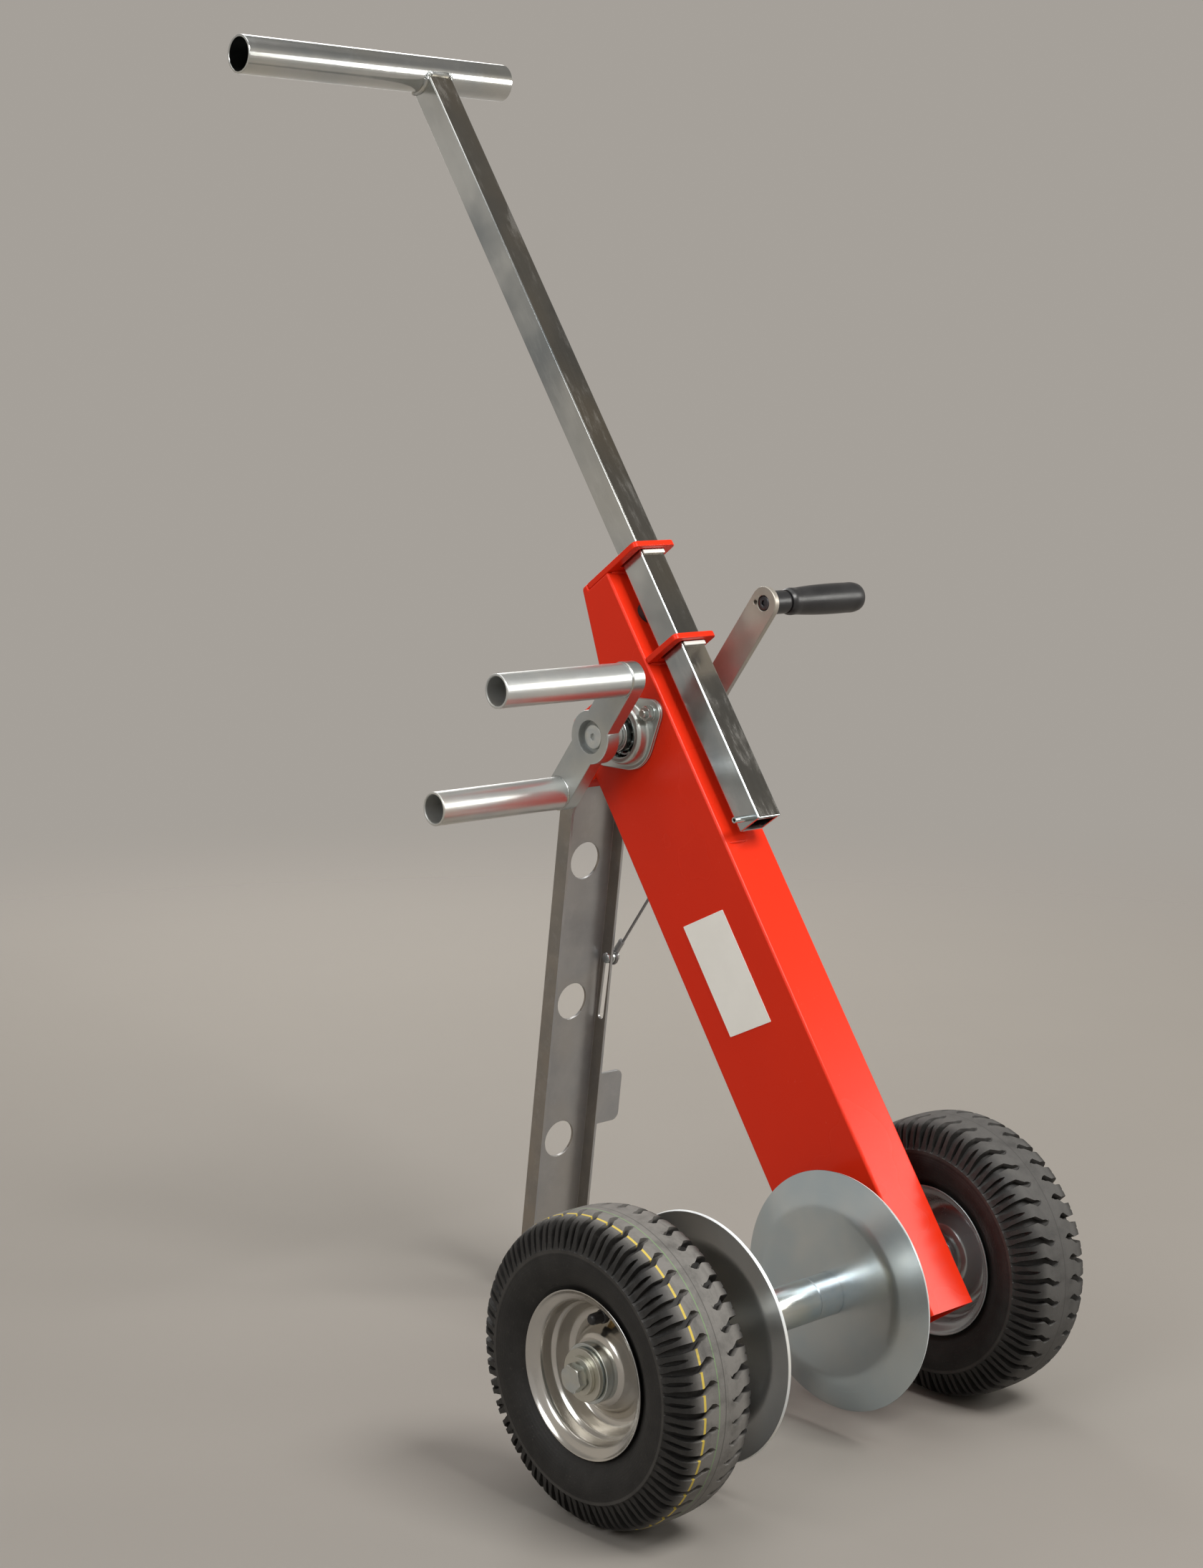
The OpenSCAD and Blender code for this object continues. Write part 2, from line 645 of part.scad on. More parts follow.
module crank_shaft() {
    color(ZINC) at_crank() difference() {
        union() {
            x_rod(shaft_d, fork_in_x, arm_in_x);
            x_rod(shaft_step_d, recess_x, arm_out_x);
        }
        for (x = [recess_x, arm_out_x]) x_rod(shaft_step_d / 2, x - 22, x + 22);
    }
}
module shaft_screws() {
    d = shaft_step_d / 2;
    color(ZINC) at_crank() for (k = [-1, 1]) translate([k < 0 ? recess_x : arm_out_x, 0, 0]) mirror([k < 0 ? 1 : 0, 0, 0]) difference() {
        union() { x_rod(d, -20, 1); x_rod(shaft_step_d + 4, 0, screw_head_h); }
        x_hex(d * 0.6, 1, screw_head_h + 1);
    }
}
module fork_plate() {
    color(ZINC) at_crank() difference() {
        side_solid(fork_out_x, fork_in_x) {
            for (k = [0, 180]) rotate(k) link(prong_d / 2 + 1, prong_d / 2 + 1, prong_r);
            circle(d = fork_mid_d);
        }
        x_rod(shaft_step_d, fork_out_x - 1, fork_in_x + 1);
        x_rod(recess_d, fork_out_x - 1, recess_x);
    }
}
module prong(k) {
    color(ZINC) at_crank() translate([0, 0, k * prong_r])
        x_tube(prong_d, prong_d - 2 * prong_wall, fork_out_x - prong_len, fork_out_x);
}
module upper_prong() { prong(1); }
module lower_prong() { prong(-1); }

module at_grip() { at_crank() translate([0, 0, crank_r]) children(); }
module crank_arm() {
    color(ZINC) at_crank() difference() {
        side_solid(arm_in_x, arm_out_x) link(arm_w / 2, arm_w / 2, crank_r);
        x_rod(shaft_step_d, arm_in_x - 1, arm_out_x + 1);
        translate([0, 0, crank_r]) {
            x_rod(grip_pin_d * 0.8, arm_in_x - 1, arm_out_x + 1);
            x_rod(grip_pin_d * 1.5, arm_in_x - 1, arm_in_x + 3);
        }
    }
}
module handle_screw() {
    color(BLACK) at_grip() difference() {
        union() {
            x_rod(grip_pin_d * 1.5, arm_in_x, arm_in_x + 3);
            x_rod(grip_pin_d * 0.8, arm_in_x + 2, arm_out_x + 16);
        }
        x_hex(grip_pin_d * 0.5, arm_in_x - 1, arm_in_x + 4);
    }
}
module handle_collar() {
    color(BLACK) at_grip() x_tube(collar_d, grip_pin_d, arm_out_x, arm_out_x + collar_len);
}
module handle_pin() {
    color(ZINC) at_grip() difference() {
        x_rod(grip_pin_d, arm_out_x, pin_end_x);
        x_rod(grip_pin_d * 0.8, arm_out_x - 1, arm_out_x + 17);
    }
}
module hand_grip() {
    nose = 6;
    bore = grip_pin_d / 2 + run_gap;
    d2 = grip_d1 - 1;
    color(BLACK) at_grip() x_turned(concat(
        [[bore, grip_x], [grip_d0 / 2 - 1.5, grip_x], [grip_d0 / 2, grip_x + 1.5], [grip_d1 / 2 - 0.6, grip_x + grip_len * 0.35], [grip_d1 / 2, grip_x + grip_len * 0.6]],
        [for (a = [0:15:90]) [d2 / 2 - nose + nose * cos(a), grip_end_x - nose + nose * sin(a)]],
        [[0, grip_end_x], [0, pin_end_x + 1], [bore, pin_end_x + 1]]));
}

// Drawbar

module drawbar_tube() {
    color(ZINC) difference() {
        at_beam() translate([0, -bar_t, bar_low_s]) linear_extrude(handle_s - bar_low_s) difference() {
            round_rect(bar_w, bar_w, bar_r);
            round_rect(bar_w - 2 * bar_wall, bar_w - 2 * bar_wall, bar_r - bar_wall);
        }
        at_beam() translate([0, -bar_t, handle_s]) x_rod(handle_d, -bar_w, bar_w);
        at_beam() translate([0, -bar_t, pin_s]) x_rod(pin_d, -bar_w, bar_w);
    }
}
module cross_handle() {
    color(ZINC) at_beam() translate([0, -bar_t, handle_s]) x_tube(handle_d, handle_d - 2 * handle_wall, -handle_left, handle_right);
}
module stop_pin() {
    color(ZINC) at_beam() translate([0, -bar_t, pin_s]) difference() {
        x_tube(pin_d, pin_d - 3, -bar_w / 2 - pin_out, bar_w / 2);
        translate([-bar_w - pin_out, -0.5, 0]) cube([2 * bar_w + pin_out, 1, pin_d]);
    }
}

// Leg

ear_r = 12;
module leg_flange() {
    difference() {
        union() {
            circle(ear_r);
            polygon([[-ear_r, 0], [0, -3 * ear_r], [0, -leg_reach], [leg_depth, -leg_reach], [leg_depth, -web_drop], [ear_r, 0]]);
        }
        circle(d = hinge_bolt_d + 2 * run_gap);
    }
}
// The foot pedal's outline, from the middle of the flange outwards
module pedal_outline() {
    r = 8;
    square([pedal_out - r, pedal_h]);
    translate([0, r]) square([pedal_out, pedal_h - 2 * r]);
    for (z = [r, pedal_h - r]) translate([pedal_out - r, z]) circle(r);
}
module support_leg() {
    inside = leg_w / 2 - leg_sheet;
    color("lightgray") difference() {
        at_leg() {
            both_sides() side_solid(inside, leg_w / 2) leg_flange();
            translate([-inside - 1, leg_depth - leg_sheet, -leg_reach]) cube([2 * inside + 2, leg_sheet, leg_reach - web_drop]);
            translate([leg_w / 2 - 1, leg_sheet, -pedal_drop - pedal_h]) rotate([90, 0, 0]) linear_extrude(leg_sheet) pedal_outline();
        }
        at_leg() for (i = [0:2]) translate([0, 0, -leg_hole_first - i * leg_hole_pitch]) rotate([-90, 0, 0]) cylinder(d = leg_hole_d, h = leg_depth + 1);
        at_slot() translate([0, slot_bow / 2, 0]) side_solid(inside - 1, leg_w / 2 + 1) {
            circle(d = slot_w);
            translate([-slot_w / 2, -slot_len]) square([slot_w, slot_len]);
            translate([0, -slot_len]) circle(d = slot_w);
        }
        placed() translate([-leg_w, 0, foot_h - leg_w]) cube([2 * leg_w, 2 * leg_reach, leg_w]);
    }
}
module rubber_foot() {
    color(RUBBER) placed() translate([0, foot_y, 0]) linear_extrude(foot_h) round_rect(leg_w + 6, leg_depth + 10, 4);
}
module hinge_bracket() {
    tube_d = 2 * hinge_back - 14;
    color(RED) difference() {
        at_beam() translate([0, front_t + hinge_back, hinge_s]) {
            x_rod(tube_d, -leg_w / 2 + leg_sheet + face_gap, leg_w / 2 - leg_sheet - face_gap);
            translate([-half_w + bend_r, -hinge_back, -tube_d / 2 + 3]) cube([beam_w - 2 * bend_r, hinge_back, tube_d - 6]);
        }
        placed() translate(hinge_at) x_rod(hinge_bolt_d, -leg_w, leg_w);
    }
}
module hinge_bolt() {
    color(ZINC) placed() translate(hinge_at) {
        x_rod(hinge_bolt_d, -leg_w / 2 - face_gap, leg_w / 2 + hinge_bolt_d);
        x_hex(hinge_bolt_d * 1.6, -leg_w / 2 - face_gap - 5, -leg_w / 2 - face_gap);
    }
}
module hinge_nut() {
    color(ZINC) placed() translate(hinge_at) difference() {
        x_hex(hinge_bolt_d * 1.6, leg_w / 2 + face_gap, leg_w / 2 + face_gap + 7);
        x_rod(hinge_bolt_d, 0, leg_w);
    }
}

// Stay

lug_h = 5;
lug_x = half_w - bend_r - lug_h;
thimble_d = stay_bolt_d + 5;
eye_r = (thimble_d + wire_d) / 2;
nut_h = 4;
slot_head_h = 3;
module anchor_lug() {
    color(RED) at_beam() translate([0, front_t + anchor_back, anchor_s]) difference() {
        side_solid(lug_x, lug_x + lug_h) {
            circle(8);
            translate([-anchor_back, -8]) square([anchor_back, 16]);
        }
        x_rod(stay_bolt_d, 0, half_w);
    }
}
module anchor_bolt() {
    color(ZINC) placed() translate(anchor_at) {
        x_rod(stay_bolt_d, lug_x - 2, stay_x + wire_d + 1);
        x_rod(stay_bolt_d + 4, lug_x + lug_h, stay_x - wire_d / 2 - face_gap);
        x_hex(stay_bolt_d * 1.6, stay_x + wire_d / 2 + face_gap, stay_x + wire_d / 2 + face_gap + nut_h);
        x_hex(stay_bolt_d * 1.6, lug_x - nut_h, lug_x);
    }
}
module stay_eyes() { translate([stay_x, 0, 0]) { children(); translate([0, 0, -stay_len]) rotate([180, 0, 0]) children(); } }
module stay_wire() {
    color(ZINC) at_stay() {
        stay_eyes() rotate([0, 90, 0]) rotate_extrude() translate([eye_r, 0]) circle(d = wire_d);
        translate([stay_x, 0, -stay_len + eye_r]) cylinder(d = wire_d, h = stay_len - 2 * eye_r);
    }
}
module stay_thimbles() {
    color(ZINC) at_stay() stay_eyes() x_tube(thimble_d, stay_bolt_d + 2 * run_gap, -wire_d / 2, wire_d / 2);
}
module stay_ferrules() {
    color("gray") at_stay() stay_eyes() translate([0, 0, -eye_r - wire_d / 2 - 15]) difference() {
        cylinder(d = wire_d + 5, h = 14);
        translate([0, 0, -1]) cylinder(d = wire_d, h = 16);
    }
}
// The bolt's round head lies inside the flange, its nut outside the stay
module at_stay_bolt() { placed() translate(stay_bolt_at) children(); }
module slot_bolt() {
    head_x = leg_w / 2 - leg_sheet - face_gap;
    color(ZINC) at_stay_bolt() {
        x_rod(stay_bolt_d, head_x - slot_head_h / 2, stay_x + wire_d / 2 + nut_h + 2);
        x_turned([[0, head_x], [slot_w / 2 + 2, head_x], [slot_w / 2 + 1, head_x - 0.6 * slot_head_h],
            [slot_w / 4, head_x - slot_head_h], [0, head_x - slot_head_h]]);
    }
}
module slot_nut() {
    color(ZINC) at_stay_bolt() difference() {
        union() {
            x_rod(slot_w + 5, leg_w / 2 + face_gap, stay_x - wire_d / 2);
            x_hex(stay_bolt_d * 1.6, stay_x + wire_d / 2, stay_x + wire_d / 2 + nut_h);
        }
        x_rod(stay_bolt_d, 0, leg_w);
    }
}

beam_housing();
top_guide_plate();
lower_guide_plate();
guide_liners();
friction_pad();
axle_shaft();
axle_tube();
axle_spacers();
axle_washers();
axle_bolts();
rating_plate();
bearing_flanges();
outer_races();
flange_bolts();
flange_nuts();
hinge_bracket();
hinge_bolt();
hinge_nut();
anchor_lug();
anchor_bolt();
crank_shaft();
inner_races();
ball_cages();
set_screws();
fork_plate();
upper_prong();
lower_prong();
shaft_screws();
crank_arm();
handle_screw();
handle_collar();
handle_pin();
hand_grip();
drawbar_tube();
cross_handle();
stop_pin();
left_tyre();
left_rim();
left_hub();
left_wheel_bearings();
left_valve();
left_valve_cap();
right_tyre();
right_rim();
right_hub();
right_wheel_bearings();
right_valve();
right_valve_cap();
left_disc();
right_disc();
roller_tube();
roller_bushes();
support_leg();
rubber_foot();
stay_wire();
stay_thimbles();
stay_ferrules();
slot_bolt();
slot_nut();
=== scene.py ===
"""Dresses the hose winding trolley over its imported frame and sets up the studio.

Shapes are worked out in millimetres, in leaning frames that match the part's own: X runs across the
trolley, Y to its back and Z up. Place.out turns them into metres in the shared frame.
"""

from __future__ import annotations

import functools
import logging
import math
import operator
from dataclasses import dataclass, field
from enum import Enum
from typing import Any, Callable, Iterable, Sequence

import bmesh
import bpy
import numpy as np
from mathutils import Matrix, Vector
from mathutils.geometry import tessellate_polygon

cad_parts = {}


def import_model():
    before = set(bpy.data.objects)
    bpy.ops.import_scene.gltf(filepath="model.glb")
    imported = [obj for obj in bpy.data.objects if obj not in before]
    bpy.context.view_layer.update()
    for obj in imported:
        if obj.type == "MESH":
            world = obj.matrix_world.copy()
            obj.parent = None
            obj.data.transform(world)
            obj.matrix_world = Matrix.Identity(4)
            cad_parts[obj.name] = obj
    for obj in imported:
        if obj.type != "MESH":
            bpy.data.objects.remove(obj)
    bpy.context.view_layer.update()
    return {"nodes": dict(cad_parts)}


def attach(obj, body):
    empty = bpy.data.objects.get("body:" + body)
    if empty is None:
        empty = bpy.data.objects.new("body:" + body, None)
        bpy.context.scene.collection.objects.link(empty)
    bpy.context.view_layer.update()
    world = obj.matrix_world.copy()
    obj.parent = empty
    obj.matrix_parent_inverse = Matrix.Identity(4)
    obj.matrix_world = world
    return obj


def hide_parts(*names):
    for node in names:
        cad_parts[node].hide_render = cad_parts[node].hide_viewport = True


LOG = logging.getLogger("trolley")
Array = np.ndarray
Point = tuple[float, float, float]
Colour = tuple[float, float, float]
Span = tuple[float, float]
Line = Sequence[Sequence[float]] | Array
TURN = 2.0 * math.pi
# Metres in a millimetre
MM = 0.001
# Angles in a turn of a plain round piece
ROUND = 72


class Along(Enum):
    """The axis that an outline is carried along, as the order of its u, v and height."""

    X = (2, 0, 1)
    Y = (0, 2, 1)
    Z = (0, 1, 2)

    def points(self, outline: Array, height: float | Array) -> Array:
        """Gives an outline's points in space, at a height or a height each."""
        tall = np.broadcast_to(np.asarray(height, float), outline.shape[:1])
        return np.column_stack([outline, tall])[:, list(self.value)]


class Body(Enum):
    """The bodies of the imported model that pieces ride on."""

    FRAME = "frame"
    CRANK = "crank"
    GRIP = "grip"
    DRAWBAR = "drawbar"
    LEFT_WHEEL = "left_wheel"
    RIGHT_WHEEL = "right_wheel"
    ROLLER = "guide_roller"
    LEG = "leg"
    STAY = "stay"


@dataclass(frozen=True)
class Place:
    """A frame at a point of the part, leaning about X by some degrees."""

    at: Point
    lean: float = 0.0

    def out(self, points: Array) -> Array:
        """Gives local millimetres as metres in the shared frame.

        Args:
            points: Points in this frame.

        Returns:
            The points turned about X by the lean, then moved.
        """
        c, s = math.cos(math.radians(self.lean)), math.sin(math.radians(self.lean))
        turn = np.array([[1.0, 0.0, 0.0], [0.0, c, -s], [0.0, s, c]])
        return (points @ turn.T + np.array(self.at)) * MM

    def shifted(self, x: float, y: float, z: float) -> Place:
        """Gives the frame moved along its own axes."""
        return Place(tuple(self.out(np.array([x, y, z])) / MM), self.lean)


# Places of the sub-assemblies: the beam's middle across the part, and the frames about it
MIDDLE = 96.0
TILT = 33.8
AXLE = Place((MIDDLE, -267.582, 130.0))
BEAM = Place(AXLE.at, -TILT)
SHAFT_AT = (-6.0, 560.0)
BEARINGS = BEAM.shifted(0.0, *SHAFT_AT)
CRANK = Place(BEARINGS.at, 37.9)
STAY = Place((MIDDLE, 54.0698, 466.669), 37.468)
FLOOR = Place((MIDDLE, 191.35, 0.0))


# Outlines


def unit(vectors: Array) -> Array:
    """Gives rows of vectors the length 1."""
    return vectors / np.linalg.norm(vectors, axis=1)[:, None]


def travelled(line: Array) -> Array:
    """Gives how far along a line each of its points is."""
    return np.concatenate([[0.0], np.cumsum(np.linalg.norm(np.diff(line, axis=0), axis=1))])


def picked(line: Array, far: Array, at: Array) -> Array:
    """Gives the points of a line that are some distances along it, where its own are far along."""
    return np.column_stack([np.interp(at, far, part) for part in line.T])


def eased(
    corners: Line, radius: float | Sequence[float] | Array, closed: bool = True, steps: int = 6
) -> Array:
    """Rounds the corners of a line.

    Each corner is replaced by the parabola p + a (1 - s)^2 + b s^2, where a and b reach back along
    its two edges by the corner's radius, but never past their middles.

    Args:
        corners: The line's corners.
        radius: How far back from a corner its curve starts, for all or for each.
        closed: Whether the last corner joins the first.
        steps: Points on each corner's curve.

    Returns:
        The rounded line's points.
    """
    p = np.asarray(corners, float)
    a, b = np.roll(p, 1, 0) - p, np.roll(p, -1, 0) - p
    la, lb = np.linalg.norm(a, axis=1), np.linalg.norm(b, axis=1)
    most = 0.49 * np.minimum(la, lb)
    cut = np.minimum(np.broadcast_to(np.asarray(radius, float), la.shape), most)
    s = np.linspace(0.0, 1.0, steps)[None, :, None]
    back, ahead = ((v * (cut / long)[:, None])[:, None] for v, long in ((a, la), (b, lb)))
    curve = p[:, None] + back * (1.0 - s) ** 2 + ahead * s**2
    if closed:
        return curve.reshape(-1, 2)
    return np.concatenate([p[:1], curve[1:-1].reshape(-1, 2), p[-1:]])


def flowing(points: Line, count: int) -> Array:
    """Gives a smooth line through points.

    Between two points it is the cubic whose slope at each of them is that of the point's neighbours.

    Args:
        points: The points that it passes through.
        count: Points on the line, evenly spaced.

    Returns:
        The line's points.
    """
    p = np.asarray(points, float)
    t = travelled(p)
    slope = np.gradient(p, t, axis=0)
    u = np.linspace(0.0, t[-1], 40 * len(p))
    i = np.clip(np.searchsorted(t, u, side="right") - 1, 0, len(t) - 2)
    h = (t[i + 1] - t[i])[:, None]
    s = (u - t[i])[:, None] / h
    line = (
        p[i] * (1 + 2 * s) * (1 - s) ** 2
        + slope[i] * h * s * (1 - s) ** 2
        + p[i + 1] * s**2 * (3 - 2 * s)
        + slope[i + 1] * h * s**2 * (s - 1)
    )
    far = travelled(line)
    return picked(line, far, np.linspace(0.0, far[-1], count))


def inset(loop: Array, by: float) -> Array:
    """Moves a closed line's points square to it, towards its inside.

    Args:
        loop: The line's points.
        by: How far they move.

    Returns:
        The moved points.
    """
    run = np.roll(loop, -1, 0) - np.roll(loop, 1, 0)
    area = np.sum(loop[:, 0] * np.roll(loop[:, 1], -1) - loop[:, 1] * np.roll(loop[:, 0], -1))
    inward = np.column_stack([-run[:, 1], run[:, 0]]) * np.sign(area)
    return loop + by * inward / np.linalg.norm(run, axis=1)[:, None]


def mitred(corners: Line, by: float) -> Array:
    """Moves an open line's edges to their left and gives the corners where they then meet.

    A corner moves by (m + n) / (1 + m n), where m and n are the left normals of its two edges.

    Args:
        corners: The line's corners.
        by: How far the edges move.

    Returns:
        The moved corners.
    """
    p = np.asarray(corners, float)
    run = unit(np.diff(p, axis=0))
    left = np.column_stack([-run[:, 1], run[:, 0]])
    m, n = np.concatenate([left[:1], left]), np.concatenate([left, left[-1:]])
    return p + by * (m + n) / (1.0 + np.sum(m * n, 1))[:, None]


def thick(path: Array, h: float, cap: float, steps: int = 9) -> Array:
    """Gives a line a thickness: its two offsets by h / 2, joined by caps that bulge out of its ends.

    A cap's points are h / 2 cos^k a across the line and cap sin^k a along it. A cap of h / 2 has
    k = 1, a half circle, and a flatter cap has a smaller k, which keeps its corners.

    Args:
        path: The line's points.
        h: Its thickness.
        cap: How far the ends bulge.
        steps: Points on a cap.

    Returns:
        The closed outline.
    """
    run = unit(np.gradient(path, axis=0))
    side = np.column_stack([-run[:, 1], run[:, 0]])
    a = np.linspace(0.0, math.pi, steps)[1:-1, None]
    k = 0.3 + 1.4 * cap / h
    across = h / 2 * np.sign(np.cos(a)) * np.abs(np.cos(a)) ** k
    along = cap * np.sin(a) ** k
    end = path[-1] + side[-1] * across + run[-1] * along
    start = path[0] - side[0] * across - run[0] * along
    return np.concatenate([path + side * h / 2, end, (path - side * h / 2)[::-1], start])


def angles(steps: int) -> Array:
    """Gives evenly spaced angles of one turn."""
    return np.arange(steps) * TURN / steps


def ring(radius: float, at: Sequence[float] = (0.0, 0.0), steps: int = 48) -> Array:
    """Gives a circle's points: at + radius (cos a, sin a)."""
    a = angles(steps)
    return np.column_stack([np.cos(a), np.sin(a)]) * radius + np.asarray(at, float)


def hoop(x: float, radius: float, steps: int) -> Array:
    """Gives a circle's points about X: (x, radius cos a, radius sin a)."""
    return Along.X.points(ring(radius, steps=steps), x)


def reached(fold: Array, far: float, radius: float) -> Array:
    """Gives how far a circle reaches at angles from its middle: far cos a + sqrt(r^2 - (far sin a)^2)."""
    return far * np.cos(fold) + np.sqrt(np.clip(radius**2 - (far * np.sin(fold)) ** 2, 0.0, None))


def rounded(radius: float, steps: int) -> tuple[Array, Array]:
    """Gives an edge's quarter circle: radius (1 - sin a) inwards and radius (1 - cos a) from the face."""
    a = np.linspace(0.0, math.pi / 2, steps)
    return radius * (1.0 - np.sin(a)), radius * (1.0 - np.cos(a))


def stadium(radius: float, reach: float, steps: int = 24) -> Array:
    """Gives two half circles joined by their tangents.

    Args:
        radius: Their radius.
        reach: Where the second one's middle is along v, if the first one's is at the origin.
        steps: Points on a half circle.

    Returns:
        The closed outline.
    """
    a = np.linspace(0.0, math.pi, steps)
    half = np.column_stack([np.cos(a), np.sin(a)]) * radius
    return np.concatenate([half + (0.0, reach), -half])


def box_loop(
    width: float, height: float, radius: float, at: Sequence[float] = (0.0, 0.0), steps: int = 6
) -> Array:
    """Gives a rectangle about a point with rounded corners."""
    w, h = width / 2, height / 2
    return eased([(-w, -h), (w, -h), (w, h), (-w, h)], radius, True, steps) + np.asarray(at, float)


# Skins


@dataclass
class Skin:
    """Points and blocks of faces, each block with the number of its finish."""

    points: Array
    faces: list[tuple[Array, int]] = field(default_factory=list)

    def __add__(self, other: Skin) -> Skin:
        """Puts two skins into one.

        Args:
            other: The second skin.

        Returns:
            Both of them.
        """
        shift = len(self.points)
        later = [(block + shift, finish) for block, finish in other.faces]
        return Skin(np.concatenate([self.points, other.points]), self.faces + later)

    def moved(self, x: float = 0.0, y: float = 0.0, z: float = 0.0) -> Skin:
        """Gives the skin moved."""
        return Skin(self.points + np.array([x, y, z]), self.faces)

    def flipped(self) -> Skin:
        """Gives the skin mirrored from left to right."""
        return Skin(self.points * np.array([-1.0, 1.0, 1.0]), self.faces)

    def paired(self) -> Skin:
        """Gives the skin with its mirror image."""
        return self + self.flipped()

    def turned(self, degrees: float) -> Skin:
        """Gives the skin turned about X."""
        return Skin(Place((0.0, 0.0, 0.0), degrees).out(self.points) / MM, self.faces)


def joined(skins: Iterable[Skin]) -> Skin:
    """Puts several skins into one."""
    return functools.reduce(operator.add, skins)


def woven(points: Array, around: bool = True, closed: bool = False, finish: int = 0) -> Skin:
    """Joins a grid of points with quads.

    Args:
        points: Rows by columns by three.
        around: Whether the last column joins the first.
        closed: Whether the last row joins the first.
        finish: Number of the finish.

    Returns:
        The skin.
    """
    index = np.arange(points.shape[0] * points.shape[1]).reshape(points.shape[:2])
    index = np.concatenate([index, index[:, :1]], 1) if around else index
    index = np.concatenate([index, index[:1]], 0) if closed else index
    quads = np.stack([index[:-1, :-1], index[:-1, 1:], index[1:, 1:], index[1:, :-1]], -1)
    return Skin(points.reshape(-1, 3), [(quads.reshape(-1, 4), finish)])


def spun(x: Any, radius: Any, steps: int = ROUND, closed: bool = True, finish: int = 0) -> Skin:
    """Turns a profile about X: y = radius cos a and z = radius sin a.

    Args:
        x: A place for each row, or for each row and angle.
        radius: A radius for each row, or for each row and angle.
        steps: Angles in a turn.
        closed: Whether the profile's end joins its start.
        finish: Number of the finish.

    Returns:
        The skin.
    """
    a = angles(steps)
    x, radius = np.asarray(x, float), np.asarray(radius, float)
    x = x[:, None] if x.ndim == 1 else x
    radius = radius[:, None] if radius.ndim == 1 else radius
    x, radius = np.broadcast_arrays(x + 0.0 * a, radius + 0.0 * a)
    grid = np.stack([x, radius * np.cos(a), radius * np.sin(a)], -1)
    return woven(grid, True, closed, finish)


def lathe(profile: Line, steps: int = ROUND, closed: bool = True, finish: int = 0) -> Skin:
    """Turns a line of (x, radius) points about X."""
    p = np.asarray(profile, float)
    return spun(p[:, 0], p[:, 1], steps, closed, finish)


def pipe(
    low: float, high: float, radius: float, bore: float, edge: float = 0.6, steps: int = ROUND
) -> Skin:
    """Turns a tube's section with rounded edges about X."""
    section = [(low, bore), (low, radius), (high, radius), (high, bore)]
    return lathe(eased(section, edge, True, 4), steps)


def rod(low: float, high: float, radius: float, edge: float = 0.6, steps: int = 48) -> Skin:
    """Turns a rod's section with rounded edges about X."""
    section = [(low, 0.0), (low, radius), (high, radius), (high, 0.0)]
    return lathe(eased(section, edge, False, 4), steps, False)


def six(across: float) -> Array:
    """Gives a hexagon's radius at each angle: half its width over the cosine from the nearest flat."""
    return across / 2 / np.cos(np.mod(angles(ROUND), TURN / 6) - TURN / 12)


def hexed(across: float, low: float, high: float, bore: float = 0.0, double: bool = False) -> Skin:
    """Gives a hexagon head or nut.

    Its radius is the least of the hexagon's and a cone's that turns the corners down: over a depth of
    0.055 of the width, the corners lose 0.155 of their radius.

    Args:
        across: Width over the flats.
        low: Where it starts along X.
        high: Where its turned face is.
        bore: Radius of its hole, or 0 for none.
        double: Whether the low face is turned down too.

    Returns:
        The skin.
    """
    flat, corner = six(across), across / 2 / math.cos(math.pi / 6)
    fall = 0.055 * across
    depth = np.linspace(fall, 0.0, 5)
    limit = corner * (1.0 - 0.155 * (1.0 - depth / fall) ** 1.6)
    rows = np.minimum(flat[None], limit[:, None])
    first = rows[::-1] if double else np.repeat(flat[None], 2, 0)
    start = low + depth[::-1] if double else np.array([low, low])
    ends = np.full((1, ROUND), bore)
    x = np.concatenate([[low], start, high - depth, [high]])
    return spun(x, np.concatenate([ends, first, rows, ends]), closed=bore > 0.0)


def screw_head(radius: float, low: float, high: float, socket: float) -> Skin:
    """Gives a low round head with a six-sided socket.

    The rows go up the round side, over the face and down into the socket.

    Args:
        radius: The head's radius.
        low: Where it starts along X.
        high: Where its face is.
        socket: Width of the socket over its flats.

    Returns:
        The skin.
    """
    chamfer = 0.4
    shoulder = (high - chamfer, radius - chamfer)
    profile = [(low, 0.0), (low, radius), shoulder, (high, radius * 0.62), (high, socket)]
    side = eased(profile, 1.2, False, 5)[:-1]
    hole = six(socket)
    deep = high - 0.7 * (high - low)
    x = np.concatenate([side[:, 0], [high, high - chamfer, deep, deep]])
    walls = [hole * 1.12, hole, hole, hole * 0.0]
    return spun(x, np.concatenate([np.repeat(side[:, 1:], ROUND, 1), walls]), closed=False)


def lid(loops: Sequence[Array], height: float, along: Along) -> Skin:
    """Gives a flat face inside its first loop and outside the others.

    Args:
        loops: The face's edge, and those of its holes.
        height: Where it lies along the axis.
        along: The axis that it is square to.

    Returns:
        The skin.
    """
    flat = np.concatenate(loops)
    if len(loops) == 1:
        return Skin(along.points(flat, height), [(np.arange(len(flat))[None], 0)])
    edges = [np.column_stack([loop, np.zeros(len(loop))]).tolist() for loop in loops]
    corners = tessellate_polygon([list(map(Vector, edge)) for edge in edges])
    return Skin(along.points(flat, height), [(np.array(corners), 0)])


